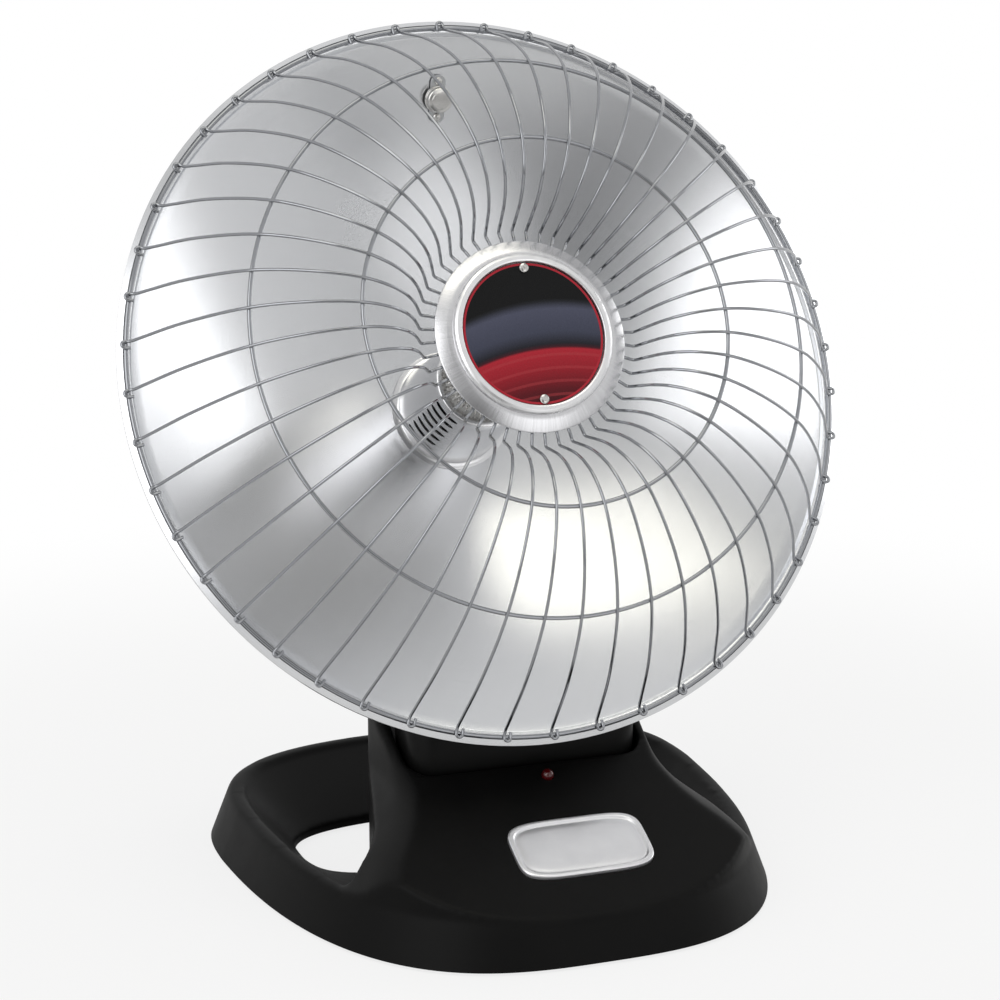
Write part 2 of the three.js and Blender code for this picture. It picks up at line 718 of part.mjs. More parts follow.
// ---------------------------------------------------------------- head: guard
const guardRimRadius = DISH_RADIUS + GUARD_RIM_OUT;
const guardProfile = new THREE.CatmullRomCurve3(
  [
    [guardRimRadius, 0],
    [guardRimRadius - 23, 0.55 * GUARD_MID_HEIGHT],
    [GUARD_MID_RADIUS, GUARD_MID_HEIGHT],
    [GUARD_MID_RADIUS - 27, GUARD_CROWN_HEIGHT - 6.6],
    [GUARD_CROWN_RADIUS, GUARD_CROWN_HEIGHT],
    [HUB_RADIUS + 31, GUARD_CROWN_HEIGHT - 4],
    [HUB_RADIUS + 19, GUARD_CROWN_HEIGHT - 14],
    [HUB_RADIUS + 5, HUB_HEIGHT],
    [GUARD_EYE_RADIUS, HUB_HEIGHT],
  ].map(([radius, height]) => new THREE.Vector3(radius, 0, height)),
);

// A ring of the guard on the inner side of the wires, sunk into them by the weld.
function guardRing(radius, height, ringWire) {
  return new THREE.TorusGeometry(radius, ringWire, 4, WIRE_COUNT).translate(0, 0, height);
}

function guardNode() {
  const drop = WIRE_RADIUS + GUARD_RING_WIRE - WELD_DEPTH;
  const spots = guardProfile.points;
  let whole = join(
    guardRing(guardRimRadius, 0, GUARD_RIM_WIRE),
    guardRing(GUARD_CROWN_RADIUS, GUARD_CROWN_HEIGHT - drop, GUARD_RING_WIRE),
    guardRing(GUARD_MID_RADIUS - 0.6 * drop, GUARD_MID_HEIGHT - 0.8 * drop, GUARD_RING_WIRE),
  );
  for (let i = 0; i < WIRE_COUNT; i++) {
    const spoke = wire(spots, WIRE_RADIUS, 4).rotateZ((2 * Math.PI * i) / WIRE_COUNT);
    whole = whole.add(toSolid(spoke));
  }
  return whole;
}

// ---------------------------------------------------------------- head: hub
const wireTop = HUB_HEIGHT + WIRE_RADIUS;
const coverFoot = wireTop + SEAT;
const coverFace = coverFoot + HUB_RISE + HUB_SHEET;
const backingTop = HUB_HEIGHT - WIRE_RADIUS - SEAT;
const backingBottom = backingTop - 1.5;

function screwHoles(bottom, top) {
  const hole = () => disc(HUB_SCREW_RADIUS + BORE_PLAY, bottom, top, 12);
  return [hole().translate(0, HUB_SCREW_AT, 0), hole().translate(0, -HUB_SCREW_AT, 0)];
}

function hubBacking() {
  const plate = ring(ROD_RADIUS + BORE_PLAY, HUB_RADIUS - 3, backingBottom, backingTop, 24);
  return cut(toSolid(plate), ...screwHoles(backingBottom - 1, backingTop + 1));
}

function hubCover() {
  const profile = [
    [0, coverFace - HUB_SHEET],
    [BEZEL_RADIUS - 1, coverFace - HUB_SHEET],
    [HUB_RADIUS - 1.4, coverFoot],
    [HUB_RADIUS, coverFoot],
    [HUB_RADIUS, coverFoot + HUB_SHEET],
    [BEZEL_RADIUS + 0.6, coverFace],
    [0, coverFace],
  ];
  return cut(toSolid(revolve(profile, HUB_STEPS)), ...screwHoles(coverFoot, coverFace + 1));
}

function hubBezel() {
  const bottom = coverFace + SEAT;
  const inner = BEZEL_RADIUS - BEZEL_WIDTH;
  const profile = [
    [inner, bottom],
    [BEZEL_RADIUS, bottom],
    [BEZEL_RADIUS - 0.4, bottom + 0.5 * BEZEL_PROUD],
    [BEZEL_RADIUS - 1.8, bottom + 0.9 * BEZEL_PROUD],
    [BEZEL_RADIUS - 0.5 * BEZEL_WIDTH, bottom + BEZEL_PROUD],
    [inner, bottom + 0.6 * BEZEL_PROUD],
  ];
  return revolve(profile, HUB_STEPS);
}

function hubLabel() {
  const bottom = coverFace + SEAT;
  const plate = disc(BEZEL_RADIUS - BEZEL_WIDTH - SEAT, bottom, bottom + LABEL_THICKNESS, HUB_STEPS);
  return cut(toSolid(plate), ...screwHoles(bottom - 1, bottom + 5));
}

function hubScrew() {
  const labelTop = coverFace + SEAT + LABEL_THICKNESS;
  const head = labelTop + SEAT;
  const profile = [
    [0, backingBottom - 2],
    [HUB_SCREW_RADIUS, backingBottom - 2],
    [HUB_SCREW_RADIUS, head],
    [2.7, head],
    [2.7, head + 0.7],
    [1.6, head + 1.4],
    [0, head + 1.4],
  ];
  return revolve(profile, 12);
}

// ---------------------------------------------------------------- head: heating element
const canFoot = dishFace(CAN_FOOT_RADIUS) + SEAT;
const flangeFoot = dishFace(CAN_FLANGE_RADIUS) + SEAT;
const dishBack = dishFace(DISH_HOLE_RADIUS) - DISH_SHEET;
const coreFoot = CAN_TOP + SEAT;

function louvredCan() {
  const slack = CAN_SHEET;
  const profile = [
    [CAN_FOOT_RADIUS - slack, canFoot],
    [CAN_FLANGE_RADIUS, flangeFoot],
    [CAN_FLANGE_RADIUS, flangeFoot + slack],
    [CAN_FOOT_RADIUS + 1, canFoot + slack + 0.6],
    [CAN_FOOT_RADIUS, canFoot + 2.2],
    [CAN_TOP_RADIUS, CAN_TOP - 0.8],
    [CAN_TOP_RADIUS - 0.6, CAN_TOP],
    [CORE_RADIUS, CAN_TOP],
    [CORE_RADIUS, CAN_TOP - slack],
    [CAN_TOP_RADIUS - slack, CAN_TOP - slack],
  ];
  const slots = [];
  for (const middle of [-LOUVRE_MIDDLE, 180 + LOUVRE_MIDDLE]) {
    for (let row = 0; row < LOUVRE_ROWS; row++) {
      slots.push(louvreSlot(LOUVRE_FIRST - row * LOUVRE_PITCH, middle));
    }
  }
  return cut(toSolid(revolve(profile, 24)), ...slots);
}

function louvreSlot(height, middle) {
  const shape = new THREE.Shape();
  const from = radians(middle - LOUVRE_ARC / 2);
  const to = radians(middle + LOUVRE_ARC / 2);
  shape.absarc(0, 0, CAN_FLANGE_RADIUS + 4, from, to, false);
  shape.absarc(0, 0, CORE_RADIUS + 4, to, from, true);
  const settings = { depth: LOUVRE_WIDTH, bevelEnabled: false, curveSegments: 3 };
  const tool = new THREE.ExtrudeGeometry(shape, settings);
  return tool.translate(0, 0, height - LOUVRE_WIDTH / 2);
}

function ceramicCore() {
  const flange = CORE_FLANGE_THICKNESS;
  const bore = ROD_RADIUS + BORE_PLAY;
  const spigot = CORE_RADIUS - SEAT;
  const profile = [
    [bore, coreFoot - 4],
    [spigot, coreFoot - 4],
    [spigot, coreFoot],
    [CORE_FLANGE_RADIUS, coreFoot],
    [CORE_FLANGE_RADIUS, coreFoot + flange],
    [CORE_RADIUS, coreFoot + flange],
    [CORE_RADIUS, CORE_TOP - flange],
    [CORE_FLANGE_RADIUS - 3, CORE_TOP - flange],
    [CORE_FLANGE_RADIUS - 3, CORE_TOP],
    [bore, CORE_TOP],
  ];
  return revolve(profile, 24);
}

// A point of the wound wire: a curl carried round a helix.
function coilPoint(share) {
  const round = 2 * Math.PI * COIL_TURNS * share;
  const curl = 2 * Math.PI * COIL_CURLS * share;
  const radius = COIL_RADIUS - CURL_RADIUS * Math.cos(curl);
  const height = THREE.MathUtils.lerp(COIL_START, COIL_END, share) + CURL_RADIUS * Math.sin(curl);
  return new THREE.Vector3(radius * Math.cos(round), radius * Math.sin(round), height);
}

function coilPoints() {
  const steps = 8 * COIL_CURLS;
  const points = [];
  for (let i = 0; i <= steps; i++) points.push(coilPoint(i / steps));
  const lead = 4 * COIL_WIRE;
  const first = points[0];
  const last = points.at(-1);
  const low = first.clone().setZ(coreFoot + CORE_FLANGE_THICKNESS + TERMINAL_HEIGHT + SEAT);
  const high = last.clone().setZ(CORE_TOP - CORE_FLANGE_THICKNESS - TERMINAL_HEIGHT - SEAT);
  points.unshift(low, low.clone().setZ(Math.min(low.z + lead, first.z - 0.5)));
  points.push(high.clone().setZ(Math.max(high.z - lead, last.z + 0.5)), high);
  return points;
}

// Least gap between stretches of the wire that are not neighbours along it.
function leastGap(points, radius) {
  const near = 6;
  let least = Infinity;
  for (let i = 0; i < points.length; i++) {
    for (let j = i + near; j < points.length; j++) {
      least = Math.min(least, points[i].distanceTo(points[j]) - 2 * radius);
    }
  }
  return least;
}

function heatingCoil() {
  const points = coilPoints();
  console.log("heating coil: least gap to itself " + leastGap(points, COIL_WIRE).toFixed(2) + " mm");
  return wire(points, COIL_WIRE, 5);
}

function terminal(end) {
  const points = coilPoints();
  const spot = end === "lower" ? points[0] : points.at(-1);
  const foot = end === "lower" ? coreFoot + CORE_FLANGE_THICKNESS : CORE_TOP - CORE_FLANGE_THICKNESS;
  const away = end === "lower" ? 1 : -1;
  const near = foot + away * SEAT;
  const far = spot.z - away * SEAT;
  const post = disc(TERMINAL_RADIUS, Math.min(near, far), Math.max(near, far), 12);
  return post.translate(spot.x, spot.y, 0);
}

// ---------------------------------------------------------------- head: tie rod
const bridgeTop = dishBack - SEAT;
const bridgeBottom = bridgeTop - BRIDGE_SHEET;
const rodTop = backingTop + SEAT + NUT_THICKNESS + ROD_PROUD;
const rodBottom = bridgeBottom - SEAT - NUT_THICKNESS - 2;

function rodBridge() {
  const length = 2 * (HOUSING_RADIUS - BRIDGE_CLEAR);
  const middle = (bridgeTop + bridgeBottom) / 2;
  const strap = box(length, BRIDGE_WIDTH, BRIDGE_SHEET, 0, 0, middle);
  return cut(toSolid(strap), disc(ROD_RADIUS + BORE_PLAY, bridgeBottom - 1, bridgeTop + 1, 12));
}

function hexNut(bottom) {
  const bore = ROD_RADIUS + BORE_PLAY;
  const nut = disc(NUT_RADIUS, bottom, bottom + NUT_THICKNESS, 6);
  return cut(toSolid(nut), disc(bore, bottom - 1, bottom + NUT_THICKNESS + 1, 12));
}

// ---------------------------------------------------------------- head: rear housing
const housingFront = dishFace(HOUSING_RADIUS) - DISH_SHEET - SEAT;
const housingBack = housingFront - HOUSING_DEPTH;

function rearHousing() {
  const back = HOUSING_RADIUS - HOUSING_TAPER;
  const innerFront = dishFace(HOUSING_RADIUS - HOUSING_WALL) - DISH_SHEET - SEAT;
  const profile = [
    [HOUSING_RADIUS - HOUSING_WALL, innerFront],
    [HOUSING_RADIUS, housingFront],
    [back, housingBack],
    [back - HOUSING_WALL, housingBack],
  ];
  return revolve(profile, HUB_STEPS);
}

function rearCover() {
  const top = housingBack - SEAT;
  const rim = HOUSING_RADIUS - HOUSING_TAPER;
  const profile = [
    [0, top - 4.4],
    [rim - 6, top - 4.4],
    [rim - 1.6, top - 3],
    [rim, top],
    [rim - HOUSING_WALL - SEAT, top],
    [rim - HOUSING_WALL - SEAT - 1, top - 1.6],
    [0, top - 2],
  ];
  const vents = [];
  for (let i = 0; i < 8; i++) {
    const vent = box(3, 14, 12, 0, 0.66 * rim, top);
    vents.push(vent.rotateZ((2 * Math.PI * (i + 0.5)) / 8));
  }
  const shaftHole = disc(KNOB_SHAFT_RADIUS + BORE_PLAY, top - 10, top + 4, SMALL_STEPS);
  return cut(toSolid(revolve(profile, ROUND_STEPS)), shaftHole, ...vents);
}

function controlKnob() {
  const top = housingBack - SEAT - 4.4 - 0.8;
  const bottom = top - KNOB_DEPTH;
  const bore = KNOB_SHAFT_RADIUS + BORE_PLAY;
  const profile = [
    [0, bottom],
    [KNOB_RADIUS - 3.4, bottom],
    [KNOB_RADIUS - 2, bottom + 1.4],
    [KNOB_RADIUS - 0.6, top - 3],
    [KNOB_RADIUS, top - 2.4],
    [KNOB_RADIUS, top],
    [bore, top],
    [bore, top - 9],
    [0, top - 9],
  ];
  const grooves = [];
  for (let i = 0; i < 12; i++) {
    const groove = disc(1.8, bottom - 2, top - 3, 6).translate(KNOB_RADIUS + 0.2, 0, 0);
    grooves.push(groove.rotateZ((2 * Math.PI * i) / 12));
  }
  return cut(toSolid(revolve(profile, 24)), ...grooves);
}

function knobShaft() {
  const coverTop = housingBack - SEAT;
  return disc(KNOB_SHAFT_RADIUS, coverTop - 4.4 - 0.8 - 9 + SEAT, coverTop + 1, SMALL_STEPS);
}

function thermostat() {
  const bottom = housingBack - SEAT - 2 + SEAT;
  const body = box(26, 26, 14, 0, 0, bottom + 7);
  return cut(toSolid(body), disc(KNOB_SHAFT_RADIUS + BORE_PLAY, bottom - 1, bottom + 4, SMALL_STEPS));
}

// ---------------------------------------------------------------- head: neck
// The column from the barrel to the housing, as a side view in the object's own Y and Z.
function columnOutline(inset) {
  const fromDish = (down, along) => [
    rimCentre.y - down * Math.sin(tilt) - along * Math.cos(tilt),
    rimCentre.z - down * Math.cos(tilt) + along * Math.sin(tilt),
  ];
  const topRow = HOUSING_RADIUS - 6;
  return [
    [PIVOT_Y, PIVOT_HEIGHT],
    [PIVOT_Y + NECK_RADIUS - 2 - inset, PIVOT_HEIGHT + 4],
    fromDish(topRow, housingFront - COLUMN_TOP_DEPTH + inset),
    fromDish(topRow, housingFront - 2.5 - inset),
    [PIVOT_Y - 4 + inset, PIVOT_HEIGHT + NECK_RADIUS - 8 - inset],
  ];
}

function column(inset) {
  return across(columnOutline(inset), COLUMN_WIDTH - 2 * inset);
}

function neckForm(inset) {
  const steps = inset > 0 ? SMALL_STEPS : ROUND_STEPS;
  return toSolid(barrel(-inset, steps)).add(toSolid(column(inset)));
}

// A slab on one side of the plane through the pivot that parts the neck's two halves.
function neckSide(front) {
  const size = 400;
  const lean = radians(36);
  const slab = box(size, size, size, 0, (front ? -1 : 1) * (size / 2 + SEAT / 2), 0);
  return slab.rotateX(-lean).translate(0, PIVOT_Y, PIVOT_HEIGHT);
}

function neckHalf(front) {
  const clearance = headToWorld(
    revolve(
      [
        [0, housingBack - 30],
        [HOUSING_RADIUS - HOUSING_TAPER + SEAT, housingBack - 30],
        [HOUSING_RADIUS - HOUSING_TAPER + SEAT, housingBack],
        [HOUSING_RADIUS + SEAT, housingFront],
        [HOUSING_RADIUS + SEAT, housingFront + 20],
        [0, housingFront + 20],
      ],
      48,
    ),
  );
  const hollow = neckForm(NECK_WALL);
  const shell = neckForm(0).subtract(hollow).intersect(toSolid(neckSide(front)));
  const reach = NECK_HALF_WIDTH + 1;
  const shaftBore = alongX(disc(SHAFT_RADIUS + BORE_PLAY, -reach, reach, SMALL_STEPS), 0);
  const wireWay = disc(9, PIVOT_HEIGHT - NECK_RADIUS - 2, PIVOT_HEIGHT - 20).translate(0, PIVOT_Y, 0);
  return cut(shell, clearance, shaftBore, wireWay);
}

function tiltShaft() {
  const half = pocketHalfWidth + SHAFT_SEAT;
  return alongX(disc(SHAFT_RADIUS, -half, half, SMALL_STEPS), 0);
}

function frictionWasher(side) {
  const inner = NECK_HALF_WIDTH + SEAT;
  const outer = pocketHalfWidth - SEAT;
  const half = (outer - inner) / 2;
  const flat = ring(SHAFT_RADIUS + BORE_PLAY, WASHER_RADIUS, -half, half, SMALL_STEPS);
  return alongX(flat, (side * (inner + outer)) / 2);
}

// ---------------------------------------------------------------- head: thermal cutoff
const cutoffAt = DISH_RADIUS - CUTOFF_FROM_EDGE;
const cutoffSlope = Math.atan((2 * DISH_DEPTH * cutoffAt) / DISH_RADIUS ** 2);

// Lays a shape that stands on z = 0 on the dish's inner face, at the top of the dish.
function onDish(geometry, along, over) {
  return geometry
    .translate(0, along, over)
    .rotateX(cutoffSlope)
    .translate(0, cutoffAt, dishFace(cutoffAt));
}

function cutoffBracket() {
  const length = CUTOFF_EAR_SPACING + 7;
  const strap = toSolid(box(9, length, 1, 0, 0, 0.5));
  const holes = [-1, 1].map((side) => disc(1.6, -1, 3, 10).translate(0, (side * CUTOFF_EAR_SPACING) / 2, 0));
  return onDish(toGeometry(cut(strap, ...holes)), 0, 1.1);
}

function cutoffBody() {
  const profile = [
    [0, 0],
    [CUTOFF_RADIUS, 0],
    [CUTOFF_RADIUS, CUTOFF_HEIGHT - 1.2],
    [CUTOFF_RADIUS - 1.2, CUTOFF_HEIGHT],
    [0, CUTOFF_HEIGHT],
  ];
  return onDish(revolve(profile, 24), 0, 2.1 + SEAT);
}

function cutoffRivet(side) {
  const profile = [
    [0, 0],
    [1.3, 0],
    [1.3, 1.6],
    [2.4, 1.6],
    [2.4, 2.1],
    [1.2, 3.1],
    [0, 3.1],
  ];
  return onDish(revolve(profile, 12), (side * CUTOFF_EAR_SPACING) / 2, 0.8);
}

// ---------------------------------------------------------------- assembly
function addBase(object) {
  piece(object, "base_shell", baseShell(), BLACK_PLASTIC);
  piece(object, "bottom_plate", bottomPlate(), BLACK_PLASTIC);
  for (const [place, [x, y]] of Object.entries(FEET)) {
    piece(object, "foot_" + place + "_left", foot(-x, y), RUBBER);
    piece(object, "foot_" + place + "_right", foot(x, y), RUBBER);
  }
  piece(object, "badge_plate", badgePlate(), ALUMINIUM);
  piece(object, "indicator_lens", indicatorLens(), RED_LENS);
  piece(object, "indicator_lamp", indicatorLamp(), CERAMIC);
  piece(object, "cord_gland", cordGland(), RUBBER);
  const [width, depth, height] = SWITCH_SIZE;
  const tipSwitch = box(width, depth, height, ...SWITCH_PLACE, plateTop + SEAT + height / 2);
  piece(object, "tip_over_switch", tipSwitch, BLACK_PLASTIC);
  const buzzer = disc(BUZZER_RADIUS, plateTop + SEAT, plateTop + SEAT + BUZZER_HEIGHT, 24);
  piece(object, "alarm_buzzer", buzzer.translate(...BUZZER_PLACE, 0), BLACK_PLASTIC);
  piece(object, "tilt_shaft", tiltShaft(), STEEL);
  piece(object, "friction_washer_left", frictionWasher(-1), NYLON);
  piece(object, "friction_washer_right", frictionWasher(1), NYLON);
}

function addNeck(object) {
  piece(object, "neck_front", neckHalf(true), BLACK_PLASTIC);
  piece(object, "neck_rear", neckHalf(false), BLACK_PLASTIC);
}

function addHead(object) {
  const head = new THREE.Group();
  head.position.copy(rimCentre);
  head.rotation.x = Math.PI / 2 - tilt;
  object.add(head);
  piece(head, "reflector_dish", reflectorDish(), REFLECTOR);
  piece(head, "guard", guardNode(), CHROME);
  piece(head, "hub_backing", hubBacking(), STEEL);
  piece(head, "hub_cover", hubCover(), ALUMINIUM);
  piece(head, "hub_bezel", hubBezel(), CHROME);
  piece(head, "hub_label", hubLabel(), LABEL_FACE);
  piece(head, "hub_screw_top", hubScrew().translate(0, HUB_SCREW_AT, 0), STEEL);
  piece(head, "hub_screw_bottom", hubScrew().translate(0, -HUB_SCREW_AT, 0), STEEL);
  piece(head, "louvred_can", louvredCan(), ALUMINIUM);
  piece(head, "ceramic_core", ceramicCore(), CERAMIC);
  piece(head, "heating_coil", heatingCoil(), RESISTANCE_WIRE);
  piece(head, "terminal_lower", terminal("lower"), STEEL);
  piece(head, "terminal_upper", terminal("upper"), STEEL);
  piece(head, "tie_rod", disc(ROD_RADIUS, rodBottom, rodTop, 12), STEEL);
  piece(head, "rod_bridge", rodBridge(), STEEL);
  piece(head, "rod_nut_front", hexNut(backingTop + SEAT), STEEL);
  piece(head, "rod_nut_rear", hexNut(bridgeBottom - SEAT - NUT_THICKNESS), STEEL);
  piece(head, "rear_housing", rearHousing(), BLACK_PLASTIC);
  piece(head, "rear_cover", rearCover(), BLACK_PLASTIC);
  piece(head, "control_knob", controlKnob(), BLACK_PLASTIC);
  piece(head, "knob_shaft", knobShaft(), STEEL);
  piece(head, "thermostat", thermostat(), BLACK_PLASTIC);
  piece(head, "thermal_cutoff", cutoffBody(), ALUMINIUM);
  piece(head, "cutoff_bracket", cutoffBracket(), STEEL);
  piece(head, "cutoff_rivet_upper", cutoffRivet(1), STEEL);
  piece(head, "cutoff_rivet_lower", cutoffRivet(-1), STEEL);
}

const heater = new THREE.Group();
heater.name = "parabolic_heater";
addBase(heater);
addNeck(heater);
addHead(heater);

export default heater;
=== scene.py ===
import math

import bmesh
import bpy
import numpy as np
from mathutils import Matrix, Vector


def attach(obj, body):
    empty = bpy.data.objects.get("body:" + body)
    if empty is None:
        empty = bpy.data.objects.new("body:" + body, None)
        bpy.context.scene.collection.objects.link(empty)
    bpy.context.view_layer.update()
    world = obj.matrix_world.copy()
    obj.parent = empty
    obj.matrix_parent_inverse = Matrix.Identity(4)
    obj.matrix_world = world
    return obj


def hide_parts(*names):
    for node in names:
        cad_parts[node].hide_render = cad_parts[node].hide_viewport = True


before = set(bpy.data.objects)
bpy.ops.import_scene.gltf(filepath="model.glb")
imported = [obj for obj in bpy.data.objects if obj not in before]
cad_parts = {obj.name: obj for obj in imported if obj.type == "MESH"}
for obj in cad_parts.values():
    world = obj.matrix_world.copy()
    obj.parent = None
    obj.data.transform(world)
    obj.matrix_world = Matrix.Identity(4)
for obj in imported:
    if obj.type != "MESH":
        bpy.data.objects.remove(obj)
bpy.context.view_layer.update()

# ---- frame
# Lengths are millimetres until a mesh is made. The head has its own frame: x to the viewer's
# right, y up the rim plane and s along the dish's axis, out of the dish.
MM = 0.001
TILT = math.radians(25.3)
AXIS = np.array([0.0, -math.cos(TILT), math.sin(TILT)])
UP_DISH = np.array([0.0, math.sin(TILT), math.cos(TILT)])
RIM_CENTRE = np.array([0.0, 10.539496, 282.114783])
PIVOT = np.array([0.0, 2.0, 82.0])
RAMP = math.radians(25.05)
RAMP_START = (-151.264715, 24.0)

FINE = 192


def head(points):
    points = np.asarray(points, float)
    x = points[:, :1] * np.array([1.0, 0.0, 0.0])
    return RIM_CENTRE + x + points[:, 1:2] * UP_DISH + points[:, 2:] * AXIS


def from_head(point):
    """A point of the scene, in metres, in the head's own frame, in millimetres."""
    away = np.array(point) / MM - RIM_CENTRE
    return away[0], away @ UP_DISH, away @ AXIS


def leaning(points, lean, at):
    """Points turned about X by an angle, then moved to a place."""
    points = np.asarray(points, float)
    c, s = math.cos(lean), math.sin(lean)
    x, y, z = points[:, 0], points[:, 1], points[:, 2]
    return np.stack([x, y * c - z * s, y * s + z * c], axis=1) + np.array(at, float)


def ramp_height(y):
    return RAMP_START[1] + (y - RAMP_START[0]) * math.tan(RAMP)


def ramp(points, x, y):
    """Points over the ramp: across, up the slope, off its face."""
    return leaning(points, RAMP, (x, y, ramp_height(y)))


def along_x(points):
    """Points of a form about the pivot's line: its own third axis lies along X."""
    points = np.asarray(points, float)
    return PIVOT + np.stack([points[:, 2], points[:, 1], -points[:, 0]], axis=1)


def straight(points):
    return np.asarray(points, float)


# ---- meshes
def mesh_object(name, vertices, faces, place=straight, sharp=35):
    mesh = bpy.data.meshes.new(name)
    points = place(vertices) * MM
    mesh.from_pydata([tuple(p) for p in points], [], [tuple(f) for f in faces])
    mesh.validate()
    mesh.shade_smooth()
    if sharp:
        mesh.set_sharp_from_angle(angle=math.radians(sharp))
    made = bpy.data.objects.new(name, mesh)
    bpy.context.scene.collection.objects.link(made)
    return made


def rounded(profile, radius, steps=4):
    """A profile with its corners rounded, by no more than 0.45 of the shorter side."""
    points = [np.array(p, float) for p in profile]
    out = []
    count = len(points)
    for i, corner in enumerate(points):
        if abs(corner[0]) < 1e-6:
            out.append(tuple(corner))
            continue
        before = points[i - 1] - corner
        after = points[(i + 1) % count] - corner
        a, b = np.linalg.norm(before), np.linalg.norm(after)
        turn = math.acos(max(-1.0, min(1.0, float(before @ after) / (a * b))))
        if turn > math.radians(165):
            out.append(tuple(corner))
            continue
        reach = min(radius / math.tan(turn / 2), 0.45 * a, 0.45 * b)
        start, end = corner + before / a * reach, corner + after / b * reach
        for k in range(steps + 1):
            t = k / steps
            point = (1 - t) ** 2 * start + 2 * t * (1 - t) * corner + t * t * end
            out.append(tuple(point))
    return out


def lathe(profile, steps=None):
    """Vertices and faces of a profile [r, s] turned about s. A point on the axis is a pole."""
    steps = steps or FINE
    angles = np.linspace(0, 2 * math.pi, steps, endpoint=False)
    vertices, rows = [], []
    for r, s in profile:
        if abs(r) < 1e-6:
            rows.append([len(vertices)] * steps)
            vertices.append((0.0, 0.0, s))
        else:
            rows.append(list(range(len(vertices), len(vertices) + steps)))
            vertices += [(r * math.cos(a), r * math.sin(a), s) for a in angles]
    faces = []
    for low, high in zip(rows, rows[1:] + rows[:1]):
        for k in range(steps):
            n = (k + 1) % steps
            face = []
            for v in (low[k], low[n], high[n], high[k]):
                if v not in face:
                    face.append(v)
            if len(face) > 2:
                faces.append(face)
    return vertices, faces


def turned(name, profile, place=head, steps=None, sharp=35, move=(0, 0)):
    vertices, faces = lathe(profile, steps)
    vertices = [(x + move[0], y + move[1], z) for x, y, z in vertices]
    made = mesh_object(name, vertices, faces, place, sharp)
    outward(made)
    return made


def outward(made):
    bm = bmesh.new()
    bm.from_mesh(made.data)
    bmesh.ops.recalc_face_normals(bm, faces=bm.faces)
    bm.to_mesh(made.data)
    bm.free()


def tube(points, radius, sides=10, closed=False):
    """Vertices and faces of a round wire along points, with a frame that doesn't twist."""
    points = np.asarray(points, float)
    count = len(points)
    if closed:
        ahead, behind = np.roll(points, -1, 0), np.roll(points, 1, 0)
    else:
        ahead = np.vstack([points[1:], points[-1:]])
        behind = np.vstack([points[:1], points[:-1]])
    along = ahead - behind
    along /= np.linalg.norm(along, axis=1, keepdims=True)
    side = np.cross(along[0], [0.3, 0.2, 0.93])
    side /= np.linalg.norm(side)
    angles = np.linspace(0, 2 * math.pi, sides, endpoint=False)
    vertices = []
    for i in range(count):
        side = side - along[i] * (side @ along[i])
        side /= np.linalg.norm(side)
        other = np.cross(along[i], side)
        ring = points[i] + radius * (np.outer(np.cos(angles), side) + np.outer(np.sin(angles), other))
        vertices.append(ring)
    faces = []
    for i in range(count if closed else count - 1):
        j = (i + 1) % count
        for k in range(sides):
            n = (k + 1) % sides
            faces.append((i * sides + k, i * sides + n, j * sides + n, j * sides + k))
    if not closed:
        faces.append(tuple(range(sides))[::-1])
        faces.append(tuple((count - 1) * sides + k for k in range(sides)))
    return np.vstack(vertices), faces


def together(parts):
    """One list of vertices and faces from several."""
    vertices, faces, start = [], [], 0
    for points, corners in parts:
        points = np.asarray(points, float)
        vertices.append(points)
        faces += [tuple(v + start for v in face) for face in corners]
        start += len(points)
    return np.vstack(vertices), faces


def smooth_line(knots, steps):
    """A centripetal curve through knots."""
    knots = [np.array(k, float) for k in knots]
    first = 2 * knots[0] - knots[1]
    last = 2 * knots[-1] - knots[-2]
    chain = [first, *knots, last]
    out = []
    for a, b, c, d in zip(chain, chain[1:], chain[2:], chain[3:]):
        t1 = np.linalg.norm(b - a) ** 0.5
        t2 = t1 + np.linalg.norm(c - b) ** 0.5
        t3 = t2 + np.linalg.norm(d - c) ** 0.5
        for k in range(steps):
            t = t1 + (t2 - t1) * k / steps
            ab = a + (b - a) * t / t1
            bc = b + (c - b) * (t - t1) / (t2 - t1)
            cd = c + (d - c) * (t - t2) / (t3 - t2)
            abc = ab + (bc - ab) * t / t2
            bcd = bc + (cd - bc) * (t - t1) / (t3 - t1)
            out.append(abc + (bcd - abc) * (t - t1) / (t2 - t1))
    out.append(knots[-1])
    return out


def evened(line, spacing):
    """The line again, with points at even distances."""
    line = np.asarray(line, float)
    lengths = np.linalg.norm(np.diff(line, axis=0), axis=1)
    reach = np.concatenate([[0], np.cumsum(lengths)])
    count = max(2, int(reach[-1] / spacing) + 1)
    at = np.linspace(0, reach[-1], count)
    return np.stack([np.interp(at, reach, line[:, k]) for k in range(line.shape[1])], axis=1)


def around(steps):
    return [2 * math.pi * i / steps for i in range(steps)]


def block(size, middle=(0, 0, 0)):
    x, y, z = (v / 2 for v in size)
    corners = [(i, j, k) for i in (-x, x) for j in (-y, y) for k in (-z, z)]
    vertices = [(a + middle[0], b + middle[1], c + middle[2]) for a, b, c in corners]
    faces = [(0, 1, 3, 2), (4, 6, 7, 5), (0, 4, 5, 1), (2, 3, 7, 6), (0, 2, 6, 4), (1, 5, 7, 3)]
    return vertices, faces


def between_rows(i, k, count):
    """The face from point k to the next between rows i and i + 1 of count points."""
    n = (k + 1) % count
    return i * count + k, i * count + n, (i + 1) * count + n, (i + 1) * count + k


